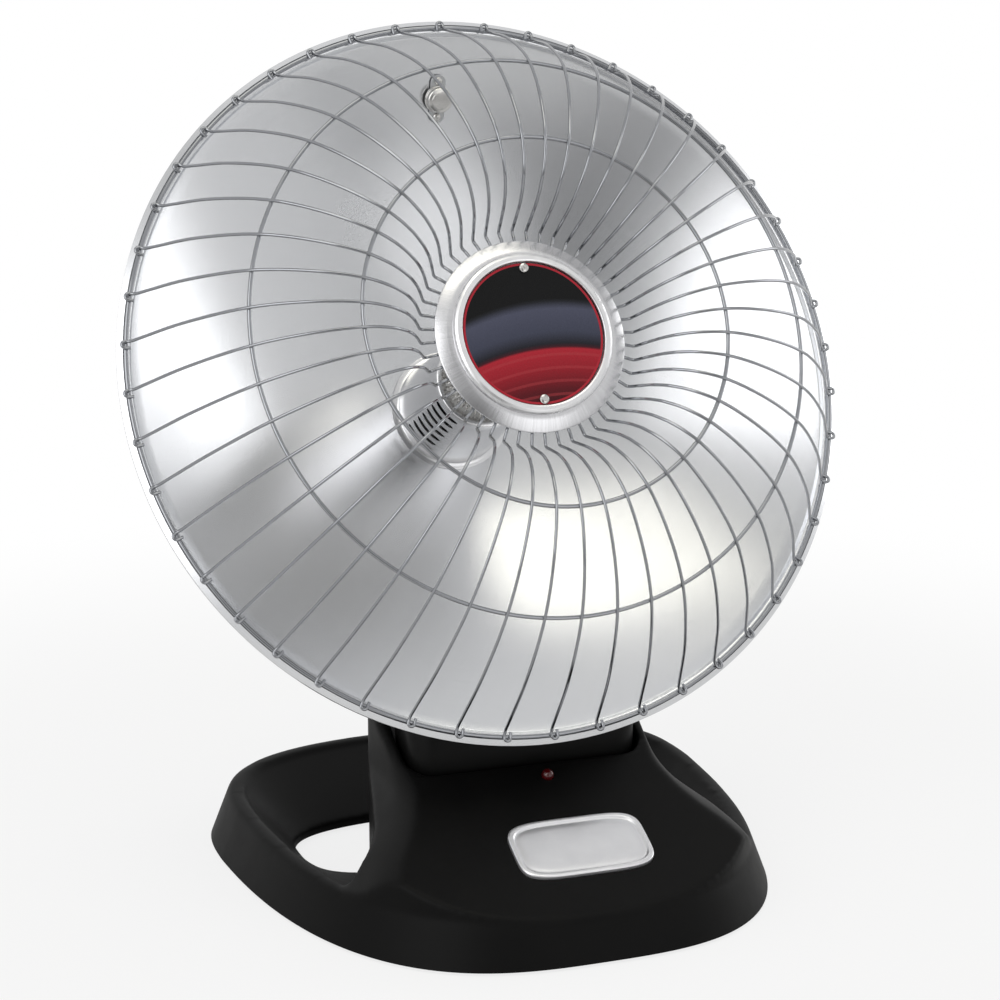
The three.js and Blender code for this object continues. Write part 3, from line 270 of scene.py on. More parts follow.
def loft(loops):
    """Vertices and faces of a form through loops of points, with its ends closed."""
    count = len(loops[0])
    vertices = [tuple(p) for loop in loops for p in loop]
    faces = [between_rows(i, k, count) for i in range(len(loops) - 1) for k in range(count)]
    last = (len(loops) - 1) * count
    middle = [tuple(np.mean(np.array(loop, float), axis=0)) for loop in (loops[0], loops[-1])]
    vertices += middle
    for k in range(count):
        n = (k + 1) % count
        faces.append((len(vertices) - 2, n, k))
        faces.append((len(vertices) - 1, last + k, last + n))
    return vertices, faces


def prism(outline, low, high):
    """An outline [a, b] pushed along X from low to high, a and b being Y and Z."""
    return loft([[(x, a, b) for a, b in outline] for x in (low, high)])


def change(made, kind, **settings):
    """Adds a modifier and applies it."""
    bpy.context.view_layer.objects.active = made
    modifier = made.modifiers.new("change", kind)
    for key, value in settings.items():
        setattr(modifier, key, value)
    with bpy.context.temp_override(object=made, active_object=made):
        bpy.ops.object.modifier_apply(modifier=modifier.name)


def combine(made, operation, *tools):
    for tool in tools:
        outward(tool)
        change(made, "BOOLEAN", operation=operation, object=tool, solver="EXACT")
        bpy.data.objects.remove(tool)
    return made


def shade(made, sharp=35):
    made.data.shade_smooth()
    made.data.set_sharp_from_angle(angle=math.radians(sharp))


def softened(made, voxel, rounds, keep):
    """Voxel remeshed, smoothed and thinned: hard edges become small fillets."""
    change(made, "REMESH", mode="VOXEL", voxel_size=voxel * MM, use_smooth_shade=True)
    change(made, "SMOOTH", factor=0.5, iterations=rounds)
    change(made, "DECIMATE", decimate_type="COLLAPSE", ratio=keep)


# ---- materials
class Nodes:
    """A material's nodes, with short ways to add and link them."""

    def __init__(self, name):
        self.material = bpy.data.materials.new(name)
        self.material.use_nodes = True
        self.tree = self.material.node_tree
        self.shader = self.tree.nodes["Principled BSDF"]
        self.object = self.add("ShaderNodeTexCoord").outputs["Object"]

    def add(self, kind, **settings):
        node = self.tree.nodes.new(kind)
        for key, value in settings.items():
            setattr(node, key, value)
        return node

    def link(self, source, target):
        self.tree.links.new(source, target)

    def feed(self, node, index, source):
        if hasattr(source, "is_output"):
            self.link(source, node.inputs[index])
        else:
            node.inputs[index].default_value = source

    def maths(self, operation, *values):
        node = self.add("ShaderNodeMath", operation=operation)
        for i, value in enumerate(values):
            self.feed(node, i, value)
        return node.outputs[0]

    def noise(self, scale, detail=3.0, roughness=0.55, vector=None):
        node = self.add("ShaderNodeTexNoise")
        node.inputs["Scale"].default_value = scale
        node.inputs["Detail"].default_value = detail
        node.inputs["Roughness"].default_value = roughness
        self.link(vector or self.object, node.inputs["Vector"])
        return node.outputs[0]

    def ramp(self, source, *stops):
        node = self.add("ShaderNodeValToRGB")
        node.color_ramp.interpolation = "LINEAR"
        while len(node.color_ramp.elements) < len(stops):
            node.color_ramp.elements.new(0.5)
        for element, (place, color) in zip(node.color_ramp.elements, stops):
            element.position = place
            element.color = (*color, 1)
        self.link(source, node.inputs[0])
        return node.outputs[0]

    def spread(self, source, low, high):
        """A 0 to 1 value carried to low to high."""
        node = self.add("ShaderNodeMapRange")
        self.feed(node, 0, source)
        node.inputs[3].default_value = low
        node.inputs[4].default_value = high
        return node.outputs[0]

    def mix(self, share, a, b):
        node = self.add("ShaderNodeMix", data_type="RGBA")
        self.feed(node, 0, share)
        for index, value in ((6, a), (7, b)):
            if hasattr(value, "is_output"):
                self.link(value, node.inputs[index])
            else:
                node.inputs[index].default_value = (*value, 1)
        return node.outputs[2]

    def bump(self, height, strength, distance):
        node = self.add("ShaderNodeBump")
        node.inputs["Strength"].default_value = strength
        node.inputs["Distance"].default_value = distance
        self.link(height, node.inputs["Height"])
        self.link(node.outputs[0], self.shader.inputs["Normal"])

    def set(self, **values):
        names = {
            "color": "Base Color", "rough": "Roughness", "metal": "Metallic",
            "gloss": "Specular IOR Level", "coat": "Coat Weight", "coat_rough": "Coat Roughness",
        }
        for key, value in values.items():
            target = self.shader.inputs[names[key]]
            if hasattr(value, "is_output"):
                self.link(value, target)
            elif key == "color":
                target.default_value = (*value, 1)
            else:
                target.default_value = value
        return self.material

    def in_head(self):
        """Coordinates of the head's own frame, in metres."""
        mapping = self.add("ShaderNodeMapping", vector_type="TEXTURE")
        mapping.inputs["Location"].default_value = tuple(RIM_CENTRE * MM)
        mapping.inputs["Rotation"].default_value = (math.pi / 2 - TILT, 0, 0)
        self.link(self.object, mapping.inputs["Vector"])
        return mapping.outputs[0]

    def polar(self, vector):
        """Distance from the third axis, angle about it and height along it."""
        parts = self.add("ShaderNodeSeparateXYZ")
        self.link(vector, parts.inputs[0])
        x, y, z = parts.outputs
        squares = self.maths("ADD", self.maths("MULTIPLY", x, x), self.maths("MULTIPLY", y, y))
        return self.maths("SQRT", squares), self.maths("ARCTAN2", y, x), z

    def triple(self, x, y, z):
        node = self.add("ShaderNodeCombineXYZ")
        for i, value in enumerate((x, y, z)):
            self.feed(node, i, value)
        return node.outputs[0]


def moulded_black(name, color=0.0036, rough=0.45, grain=0.16, gloss=0.09):
    m = Nodes(name)
    fine = m.noise(2600, 2, 0.6)
    broad = m.noise(38, 4, 0.6)
    light = tuple(color * k for k in (1.35, 1.32, 1.28))
    shade_of = m.mix(m.spread(broad, 0, 1), (color * 0.8, color * 0.8, color * 0.82), light)
    m.bump(fine, grain, 0.00012)
    return m.set(color=shade_of, rough=m.spread(broad, rough - 0.08, rough + 0.08), gloss=gloss)


def rubber(name):
    m = Nodes(name)
    m.bump(m.noise(1400, 3, 0.6), 0.3, 0.0002)
    speck = m.noise(300, 3)
    return m.set(color=m.mix(speck, (0.012, 0.012, 0.012), (0.028, 0.027, 0.026)), rough=0.85, gloss=0.2)


def spun_aluminium(name, color=(0.86, 0.87, 0.89), rough=(0.2, 0.3), rings=1500, radial=False):
    """Metal with fine marks round the head's axis, or out from it."""
    m = Nodes(name)
    r, angle, s = m.polar(m.in_head())
    if radial:
        lay = (m.maths("MULTIPLY", angle, 90.0), m.maths("MULTIPLY", r, 25.0), s)
    else:
        lay = (m.maths("MULTIPLY", r, rings), m.maths("MULTIPLY", angle, 0.8), 0.0)
    marks = m.noise(1, 3, 0.7, m.triple(*lay))
    cloud = m.noise(14, 3, 0.5)
    speck = m.noise(900, 2, 0.5)
    worn = 0.62 if radial else 0.88
    tone = m.mix(marks, tuple(c * worn for c in color), color)
    haze = m.maths("ADD", m.spread(cloud, rough[0], rough[1]), m.spread(speck, -0.01, 0.01))
    m.bump(marks, 0.25 if radial else 0.03, 0.0001)
    return m.set(color=tone, rough=haze, metal=1.0)


def satin_metal(name, color, rough, grain=0.05, scale=700):
    m = Nodes(name)
    speck = m.noise(scale, 3, 0.6)
    cloud = m.noise(60, 3, 0.5)
    m.bump(speck, grain, 0.0001)
    tone = m.mix(cloud, tuple(c * 0.88 for c in color), color)
    return m.set(color=tone, rough=m.spread(cloud, rough * 0.8, rough * 1.25), metal=1.0)


def chromed(name, color=(0.38, 0.39, 0.41), rough=0.08):
    m = Nodes(name)
    cloud = m.noise(120, 3, 0.6)
    tone = m.mix(cloud, tuple(c * 0.82 for c in color), color)
    m.bump(m.noise(1800, 2), 0.03, 0.00005)
    return m.set(color=tone, rough=m.spread(cloud, rough * 0.7, rough * 1.6), metal=1.0)


def heated_wire(name):
    m = Nodes(name)
    cloud = m.noise(260, 3, 0.6)
    tone = m.ramp(cloud, (0.3, (0.20, 0.19, 0.18)), (0.5, (0.50, 0.49, 0.47)), (0.7, (0.78, 0.77, 0.75)))
    m.bump(cloud, 0.1, 0.0001)
    return m.set(color=tone, rough=m.spread(cloud, 0.2, 0.35), metal=1.0)


def fired_ceramic(name):
    m = Nodes(name)
    pores = m.noise(1500, 3, 0.7)
    cloud = m.noise(70, 3)
    m.bump(pores, 0.35, 0.00015)
    tone = m.mix(cloud, (0.84, 0.83, 0.80), (0.93, 0.93, 0.91))
    return m.set(color=tone, rough=m.spread(pores, 0.55, 0.8), gloss=0.35)


def red_lens(name):
    m = Nodes(name)
    facets = m.noise(900, 1)
    m.bump(facets, 0.25, 0.0002)
    tone = m.mix(m.noise(200), (0.045, 0.001, 0.002), (0.085, 0.003, 0.004))
    return m.set(color=tone, rough=0.12, gloss=0.5, coat=0.4, coat_rough=0.08)


def lamp_glass(name):
    m = Nodes(name)
    tone = m.mix(m.noise(400), (0.75, 0.42, 0.34), (0.9, 0.6, 0.5))
    return m.set(color=tone, rough=0.1, gloss=0.5)


def nylon(name):
    m = Nodes(name)
    cloud = m.noise(160, 3)
    m.bump(m.noise(900), 0.1, 0.0001)
    return m.set(color=m.mix(cloud, (0.020, 0.020, 0.021), (0.032, 0.031, 0.031)), rough=0.55)


LABEL_RADIUS = 39.2


def printed_label(name):
    """A dark top, a slate band and a deep red foot, parted by soft diagonal bands."""
    m = Nodes(name)
    local = m.in_head()
    r = m.polar(local)[0]
    parts = m.add("ShaderNodeSeparateXYZ")
    m.link(local, parts.inputs[0])
    x, y = (m.maths("DIVIDE", part, LABEL_RADIUS * MM) for part in parts.outputs[:2])
    sweep = m.maths("MULTIPLY", m.maths("MULTIPLY", x, x), 0.16)
    tier = m.maths("ADD", y, m.maths("ADD", sweep, m.maths("MULTIPLY", x, -0.1)))
    grain = m.noise(520, 2)
    shares = m.spread(tier, 0.0, 1.0)
    shares.node.inputs[1].default_value = -1.0
    shares.node.inputs[2].default_value = 1.0
    tones = m.ramp(
        shares,
        (0.0, (0.040, 0.003, 0.006)), (0.10, (0.110, 0.004, 0.009)), (0.24, (0.300, 0.010, 0.020)),
        (0.375, (0.420, 0.016, 0.030)), (0.39, (0.050, 0.006, 0.012)), (0.415, (0.012, 0.012, 0.018)),
        (0.50, (0.050, 0.055, 0.086)), (0.66, (0.072, 0.077, 0.118)), (0.71, (0.012, 0.013, 0.018)),
        (0.73, (0.0015, 0.0015, 0.002)), (1.0, (0.001, 0.001, 0.0012)),
    )
    bands = m.maths("SINE", m.maths("MULTIPLY", tier, 34.0))
    low = m.maths("LESS_THAN", tier, -0.30)
    line = m.maths("MULTIPLY", low, m.maths("GREATER_THAN", bands, 0.80))
    tones = m.mix(m.maths("MULTIPLY", line, 0.35), tones, (0.45, 0.05, 0.06))
    tones = m.mix(m.maths("MULTIPLY", grain, 0.10), tones, (0.02, 0.02, 0.02))
    border = m.maths("GREATER_THAN", r, 0.0377)
    tones = m.mix(border, tones, (0.42, 0.02, 0.035))
    edge = m.maths("GREATER_THAN", r, 0.0389)
    tones = m.mix(edge, tones, (0.02, 0.02, 0.02))
    return m.set(color=tones, rough=m.spread(grain, 0.22, 0.32), gloss=0.2)


def badge_metal(name):
    m = Nodes(name)
    cloud = m.noise(90, 3)
    speck = m.noise(2200, 2)
    m.bump(speck, 0.12, 0.0001)
    tone = m.mix(cloud, (0.80, 0.80, 0.82), (0.90, 0.90, 0.92))
    return m.set(color=tone, rough=m.spread(cloud, 0.26, 0.36), metal=0.85)


BLACK = moulded_black("moulded_black")
BLACK_HEAD = moulded_black("moulded_black_head", 0.0042, 0.42, 0.2, 0.12)
KNOB_BLACK = moulded_black("knob_black", 0.006, 0.36, 0.1, 0.25)
PLATE_BLACK = moulded_black("plate_black", 0.007, 0.6, 0.25, 0.15)
RUBBER = rubber("feet_rubber")
DISH_METAL = spun_aluminium("dish_aluminium")
COVER_METAL = spun_aluminium("hub_cover_aluminium", (0.86, 0.86, 0.88), (0.18, 0.28), radial=True)
CAN_METAL = spun_aluminium("can_aluminium", (0.80, 0.80, 0.81), (0.14, 0.24), 900)
# The can's inner faces: its own sheet coloured near black, painted shade so the inside reads dark through
# the slots.
CAN_PAINTED_SHADE = satin_metal("can_inside_painted_shade", (0.05, 0.05, 0.052), 0.6)
WIRE_CHROME = chromed("guard_chrome")
BEZEL_CHROME = chromed("bezel_chrome", (0.95, 0.95, 0.96), 0.26)
ZINC = satin_metal("zinc_steel", (0.55, 0.56, 0.57), 0.34)
STEEL = satin_metal("turned_steel", (0.50, 0.51, 0.53), 0.26, 0.08, 1200)
NICKEL = satin_metal("nickelled", (0.68, 0.67, 0.65), 0.2)
COIL = heated_wire("oxidised_wire")
CERAMIC = fired_ceramic("fired_ceramic")
LENS = red_lens("red_lens")
LAMP = lamp_glass("neon_glass")
NYLON = nylon("dark_nylon")
LABEL = printed_label("printed_label")
BADGE = badge_metal("badge_metal")


def finished(made, body, material, slot, *nodes):
    made.data.materials.clear()
    made.data.materials.append(material)
    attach(made, body)
    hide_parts(*nodes)


# ---- reflector
DISH_RADIUS = 201.0
DISH_DEPTH = 80.2
DISH_SHEET = 1.0
SET_BACK = 4.8
ROLL_AT = (206.95, -0.6)
ROLL_BEND = 1.65


def dish_face(r):
    return -SET_BACK - DISH_DEPTH * (1 - (r / DISH_RADIUS) ** 2)


def make_dish():
    radii = np.concatenate([[22, 24], np.linspace(30, DISH_RADIUS - 0.8, 30)])
    inner = [(r, dish_face(r)) for r in radii]
    outer = [(r, dish_face(r) - DISH_SHEET) for r in radii[::-1]]
    lip = [(201.0, -4.5), (201.4, -2.4), (202.0, -1.75), (203.0, -1.55), (204.7, -1.55), (205.3, -1.3)]
    for degrees in (200, 174, 148):
        a = math.radians(degrees)
        lip.append((ROLL_AT[0] + ROLL_BEND * math.cos(a), ROLL_AT[1] + ROLL_BEND * math.sin(a)))
    hem = [
        (208.55, -1.6), (208.5, -3.2), (207.9, -4.2), (206.9, -4.3), (206.0, -3.4), (205.2, -2.6),
        (202.6, -2.6),
    ]
    dish = turned("reflector", inner + lip + hem + outer, sharp=50)
    finished(dish, "head", DISH_METAL, "satin_aluminium", "reflector_dish")


# ---- guard
WIRES = 48
WIRE = 0.85
HOOK_RADIUS = 204.7
HOOK_BEND = 1.75
HOOK_HEIGHT = 1.95
RIM_RING = (204.0, 0.0)
INNER_RINGS = ((100.0, 92.75), (153.13, 70.14))
BEND = (
    (47.2, 60.3), (55.0, 59.9), (59.3, 59.0), (60.3, 59.7), (61.3, 61.6), (64.6, 68.4), (69.0, 76.4),
    (74.5, 83.4),
)
ARCH = (
    (74.5, 83.4), (84, 90.2), (100, 94.2), (127, 87.6), (154, 71.3), (181, 39.2), (197.5, 10.5),
    (201.6, 3.4), (203.6, 2.05),
)


def wire_line():
    """One guard wire [r, across, s]: straight under the hub, up, over and round the rim ring."""
    line = smooth_line(BEND, 8)[:-1] + smooth_line(ARCH, 10)
    flat = np.array([(r, 0.0, s) for r, s in line])
    even = evened(flat, 4.2)
    bend = evened(flat[flat[:, 0] < 80], 1.2)
    arch = even[(even[:, 0] > 80.8) & (even[:, 0] <= 196)]
    rim = evened(flat[flat[:, 0] > 196.5], 1.3)
    hook = []
    for k in range(1, 13):
        a = math.pi * k / 12
        across = HOOK_BEND - HOOK_BEND * math.cos(a)
        hook.append((HOOK_RADIUS + HOOK_BEND * math.sin(a), across, HOOK_HEIGHT))
    tail = [(r, 2 * HOOK_BEND, HOOK_HEIGHT) for r in (203.4, 201.6)]
    return np.vstack([bend, arch, rim, hook, tail])


def spun(points, angle):
    c, s = math.cos(angle), math.sin(angle)
    r, across, height = points[:, 0], points[:, 1], points[:, 2]
    return np.stack([r * c - across * s, r * s + across * c, height], axis=1)


def circle(radius, height, steps):
    angles = np.linspace(0, 2 * math.pi, steps, endpoint=False)
    return np.stack([radius * np.cos(angles), radius * np.sin(angles), np.full(steps, height)], axis=1)


def make_guard():
    line = wire_line()
    parts = [tube(spun(line, 2 * math.pi * i / WIRES), WIRE, 8) for i in range(WIRES)]
    parts.append(tube(circle(*RIM_RING, FINE), 1.25, 10, closed=True))
    parts += [tube(circle(*ring, FINE), 1.1, 10, closed=True) for ring in INNER_RINGS]
    guard = mesh_object("wire_guard", *together(parts), head, 60)
    finished(guard, "head", WIRE_CHROME, "bright_wire", "guard")


# ---- hub
SCREW_AT = 36.2
SCREW_SLOT = (3.2, 0.62, 1.4)
COVER = (
    (0, 64.05), (43.5, 64.05), (46.5, 63.6), (51.4, 61.75), (51.9, 61.5), (52.6, 61.45), (53.1, 61.8),
    (53.1, 62.4), (52.4, 62.7), (47.4, 64.75), (45.3, 65.25), (0, 65.25),
)
BEZEL = (
    (39.5, 65.55), (44.5, 65.55), (44.4, 66.9), (43.7, 68.2), (42.4, 68.85), (40.7, 68.95), (39.8, 68.7),
    (39.5, 68.1),
)
LABEL_FOOT = 65.55
LABEL_FACE = 67.15
SCREW = (
    (0, 56), (1.5, 56), (1.5, 67.45), (2.7, 67.45), (2.7, 67.95), (2.3, 68.5), (1.4, 68.8), (0, 68.85),
)


def make_label():
    edge = LABEL_FACE - 0.1
    disc = [(0, LABEL_FOOT), (LABEL_RADIUS, LABEL_FOOT), (LABEL_RADIUS, edge)]
    disc += [(LABEL_RADIUS - 0.2, LABEL_FACE), (0, LABEL_FACE)]
    label = turned("face_label", rounded(disc, 0.15, 2), sharp=40)
    bore = [(0, 60), (1.9, 60), (1.9, 80), (0, 80)]
    for side in (-1, 1):
        combine(label, "DIFFERENCE", turned("bore", bore, steps=32, move=(0, side * SCREW_AT)))
    shade(label, 40)
    finished(label, "head", LABEL, "label_print", "hub_label")


def make_screw(name, side):
    """A screw with a cross slot."""
    at = side * SCREW_AT
    screw = turned("label_screw_" + name, rounded(SCREW, 0.2, 2), steps=40, sharp=45, move=(0, at))
    length, width, depth = SCREW_SLOT
    for size in ((length, width, depth), (width, length, depth)):
        slot = mesh_object("slot", *block(size, (0, at, 68.95)), head, 0)
        combine(screw, "DIFFERENCE", slot)
    shade(screw, 30)
    finished(screw, "head", NICKEL, "plated_steel", "hub_screw_" + name)


def make_hub():
    cover = turned("hub_face", rounded(COVER, 0.6), sharp=60)
    finished(cover, "head", COVER_METAL, "satin_aluminium", "hub_cover")
    bezel = turned("label_bezel", rounded(BEZEL, 0.5), sharp=70)
    finished(bezel, "head", BEZEL_CHROME, "bright_wire", "hub_bezel")
    sheet = [(0, 57.65), (50.1, 57.65), (50.1, 59.15), (0, 59.15)]
    plate = turned("clamp_plate", rounded(sheet, 0.4), sharp=40)
    finished(plate, "head", ZINC, "plated_steel", "hub_backing")
    make_label()
    make_screw("top", 1)
    make_screw("bottom", -1)


# ---- element
GAP = 0.3
SLOT = 1.55
SLOT_ROWS = 7
SLOT_PITCH = 7.4
TOP_SLOT = -27.4
SLOT_SPANS = ((307, 343), (197, 233))
CAN_TOP = -20.8
CAN_TOP_RADIUS = 27.3
CAN_FOOT_RADIUS = 32.0
CAN_SHEET = 0.8


def in_slot(degrees):
    return any(start <= degrees < end for start, end in SLOT_SPANS)


def slot_lift(degrees, kind):
    """How far a slot's edge closes in, which it does near the slot's ends."""
    near = min(abs(degrees - end) for span in SLOT_SPANS for end in span)
    if kind not in ("low", "high") or (near > 0 and not in_slot(degrees)):
        return 0.0
    share = max(0.25, min(1.0, near / 5.0) ** 0.5)
    return (1 - share) * (SLOT if kind == "low" else -SLOT)


def can_rows():
    """Radius, height and slot edge of each row of the can's sheet, from its flange up."""
    foot = dish_face(CAN_FOOT_RADIUS) + GAP
    flange = dish_face(35.5) + GAP
    low = foot + 2.2
    heights = [(low, None)]
    for row in reversed(range(SLOT_ROWS)):
        middle = TOP_SLOT - SLOT_PITCH * row
        heights += [(middle - SLOT, "low"), (middle, "mid"), (middle + SLOT, "high")]
    heights.append((CAN_TOP - 0.1, None))
    flare = (CAN_FOOT_RADIUS - CAN_TOP_RADIUS) / (CAN_TOP - low)
    skirt = [(35.5, flange), (35.5, flange + 0.5), (34.4, flange + 0.75)]
    skirt += [(33.0, foot + 1.3), (32.1, foot + 1.8)]
    crown = [(27.0, -20.35), (26.5, -20.0), (22.0, -20.0), (17.1, -20.0)]
    rows = [(r, s, None) for r, s in skirt]
    rows += [(CAN_TOP_RADIUS + flare * (CAN_TOP - s), s, kind) for s, kind in heights]
    return rows + [(r, s, None) for r, s in crown]


def can_sheet():
    rows, angles = can_rows(), list(range(1, 361, 2))
    vertices, faces = [], []
    for r, s, kind in rows:
        for degrees in angles:
            a = math.radians(degrees)
            vertices.append((r * math.cos(a), r * math.sin(a), s + slot_lift(degrees, kind)))
    count = len(angles)
    for i in range(len(rows) - 1):
        slotted = {rows[i][2], rows[i + 1][2]} in ({"low", "mid"}, {"mid", "high"})
        for k in range(count):
            if slotted and in_slot(angles[k]):
                continue
            faces.append(between_rows(i, k, count))
    return vertices, faces


def make_can():
    can = mesh_object("louvred_shield", *can_sheet(), head, 40)
    outward(can)
    sheet = len(can.data.polygons)
    change(can, "SOLIDIFY", thickness=CAN_SHEET * MM, offset=-1.0)
    bm = bmesh.new()
    bm.from_mesh(can.data)
    loose = [v for v in bm.verts if not v.link_faces]
    bmesh.ops.delete(bm, geom=loose, context="VERTS")
    bm.to_mesh(can.data)
    bm.free()
    shade(can, 40)
    finished(can, "head", CAN_METAL, "satin_aluminium", "louvred_can")
    # the inner faces take the near-black painted shade material
    can.data.materials.append(CAN_PAINTED_SHADE)
    for polygon in can.data.polygons[sheet : 2 * sheet]:  # the inner faces follow the outer ones
        polygon.material_index = 1


CORE_RADIUS = 17.0
CORE_GROOVES = 40
CORE_FOOT = ((2.9, -23.7), (16.6, -23.7), (16.6, -19.7), (18.6, -19.7), (18.6, -17.2), (17.0, -17.2))
CORE_TOP = ((17.0, 46.0), (22.5, 46.0), (22.5, 50.0), (2.9, 50.0))
COIL_RADIUS = 23.0
COIL_FOOT = -15.2
COIL_RISE = 55.6
COIL_TURNS = 7
COIL_CURLS = 380
COIL_WIRE = 0.45
CURL_OUT = 2.8
CURL_UP = 3.3
COIL_ENDS = ([(18.7, 0, -12.1)], [(18.7, 0, 42.8)])


def make_element():
    grooves = []
    for k in range(CORE_GROOVES):
        s = -15.0 + 60.0 * (k + 0.5) / CORE_GROOVES
        grooves.append((CORE_RADIUS - 0.35 * (k % 2), s))
    profile = rounded(CORE_FOOT, 0.7)[:-1] + grooves + rounded(CORE_TOP, 0.7)
    core = turned("ceramic_body", profile, sharp=50)
    finished(core, "head", CERAMIC, "white_ceramic", "ceramic_core")

    count = COIL_CURLS * 9
    share = np.arange(count + 1) / count
    about = 2 * math.pi * COIL_TURNS * share
    curl = 2 * math.pi * COIL_CURLS * share
    radius = COIL_RADIUS - CURL_OUT * np.cos(curl)
    height = COIL_FOOT + COIL_RISE * share + CURL_UP * np.sin(curl)
    line = np.stack([radius * np.cos(about), radius * np.sin(about), height], axis=1)
    line = np.vstack([COIL_ENDS[0], line, COIL_ENDS[1]])
    coil = mesh_object("wound_coil", *tube(line, COIL_WIRE, 6), head, 80)
    finished(coil, "head", COIL, "resistance_wire", "heating_coil")


# ---- back of the head
HOUSING_RADIUS = 58.0
HOUSING_BACK_RADIUS = 52.0
HOUSING_WALL = 2.4
HOUSING_FRONT = dish_face(HOUSING_RADIUS) - 1.3
HOUSING_BACK = HOUSING_FRONT - 46.0
VENTS = 8
VENT_AT = 34.3
KNOB_RADIUS = 17.0
KNOB_DEPTH = 14.0
KNOB_DENTS = 12
SHAFT_BORE = 3.3


def stadium(radius, reach, steps):
    """A slot's outline along y: a half circle at each end, reach from the middle."""
    out = []
    for a in around(steps):
        c, s = math.cos(a), math.sin(a)
        out.append((radius * c, (reach if s > 0 else -reach) + radius * s))
    return out


def make_housing():
    inner, back = HOUSING_RADIUS - HOUSING_WALL, HOUSING_BACK_RADIUS - HOUSING_WALL
    shell = [(inner, dish_face(inner) - 1.3), (HOUSING_RADIUS, HOUSING_FRONT)]
    shell += [(57.5, HOUSING_FRONT - 3.5), (HOUSING_BACK_RADIUS, HOUSING_BACK), (back, HOUSING_BACK)]
    housing = turned("switch_housing", rounded(shell, 0.7), sharp=45)
    finished(housing, "head", BLACK_HEAD, "black_plastic", "rear_housing")


def make_rear_cover(top):
    low, high = top - 12, top + 4
    cover = [(0, top - 4.1), (30, top - 4.1), (31, top - 4.4), (46, top - 4.4), (50.4, top - 3)]
    cover += [(HOUSING_BACK_RADIUS, top), (49.3, top), (48.3, top - 1.6), (0, top - 2)]
    plate = turned("vented_cover", rounded(cover, 1.0), sharp=40, steps=96)
    bore = [(0, low), (SHAFT_BORE, low), (SHAFT_BORE, high), (0, high)]
    tools = [turned("bore", bore, steps=32)]
    for i in range(VENTS):
        angle = 2 * math.pi * (i + 0.5) / VENTS
        loops = []
        for z in (low, high):
            loop = [(x, VENT_AT + y, z) for x, y in stadium(1.5, 5.5, 24)]
            loops.append(spun(np.array(loop), angle))
        tools.append(mesh_object("vent", *loft(loops), head, 0))
    combine(plate, "DIFFERENCE", *tools)
    shade(plate, 35)
    finished(plate, "head", BLACK_HEAD, "black_plastic", "rear_cover")


def make_knob(face):
    """The knob, its mark cut first and the grips round its edge pushed in after."""
    bottom = face - KNOB_DEPTH
    form = [(SHAFT_BORE, face), (KNOB_RADIUS, face), (KNOB_RADIUS, face - 2.2), (16.6, face - 2.8)]
    form += [(15.6, bottom + 1.6), (14.6, bottom), (13.2, bottom + 0.5), (0, bottom + 0.9)]
    form += [(0, face - 9), (SHAFT_BORE, face - 9)]
    knob = mesh_object("thermostat_knob", *lathe(rounded(form, 0.5), 96), head, 50)
    outward(knob)
    mark = block((1.3, 9.0, 0.9), (0, 9.6, bottom + 0.7))
    combine(knob, "DIFFERENCE", mesh_object("mark", *mark, head, 0))
    for vertex in knob.data.vertices:
        x, y, s = from_head(vertex.co)
        r = math.hypot(x, y)
        if r > 14 and bottom + 0.2 < s < face - 2.9:
            dent = max(0.0, math.cos(KNOB_DENTS * math.atan2(y, x))) ** 3
            scale = (r - 0.9 * dent) / r
            vertex.co = head([(x * scale, y * scale, s)])[0] * MM
    shade(knob, 40)
    finished(knob, "knob", KNOB_BLACK, "black_plastic", "control_knob")


def make_rear():
    top = HOUSING_BACK - GAP
    make_housing()
    make_rear_cover(top)
    make_knob(top - 4.4 - 0.8)


# ---- base outlines
DRAFT = math.tan(math.radians(20))
HALF_WIDTH = 153.6
HALF_DEPTH = 160.0
FRONT_MIDDLE = 126.5
FRONT_POWER = 2.925
BACK_MIDDLE = 50.0
BACK_DEPTH = 110.0
BACK_POWER = 2.8
SKIRT_FRONT = 24.0
SKIRT_RISE = 10.0


def skirt_height(y):
    return SKIRT_FRONT + (y + HALF_DEPTH) / (2 * HALF_DEPTH) * SKIRT_RISE


def oval(angle, half_width, half_depth, power):
    c, s = math.cos(angle), math.sin(angle)
    x = math.copysign(half_width * abs(c) ** (2 / power), c)
    y = math.copysign(half_depth * abs(s) ** (2 / power), s)
    return x, y


def footprint_front(angle, inset):
    depth = HALF_DEPTH + FRONT_MIDDLE - inset
    start = math.asin(((FRONT_MIDDLE - BACK_MIDDLE) / depth) ** (FRONT_POWER / 2))
    turned_by = start + math.asin(min(1.0, abs(math.sin(angle)))) * (1 - 2 * start / math.pi)
    way = math.pi + turned_by if math.cos(angle) < 0 else -turned_by
    x, y = oval(way, HALF_WIDTH - inset, depth, FRONT_POWER)
    return x, FRONT_MIDDLE - abs(y)


def footprint(angle, inset):
    if math.sin(angle) < 0:
        return footprint_front(angle, inset)
    x, y = oval(angle, footprint_front(0, inset)[0], BACK_DEPTH - inset, BACK_POWER)
    return x, y + BACK_MIDDLE


def skirt_loop(steps, inset, height_at):
    loop = []
    for angle in around(steps):
        z = height_at(footprint(angle, 0)[1])
        x, y = footprint(angle, inset + z * DRAFT)
        loop.append((x, y, z))
    return loop


def well_loop(steps, grow, height):
    loop = []
    for angle in around(steps):
        depth = (44 if math.sin(angle) < 0 else 50) + grow
        x, y = oval(angle, 110 + grow, depth, 3.3)
        loop.append((x, y + 30, height))
    return loop


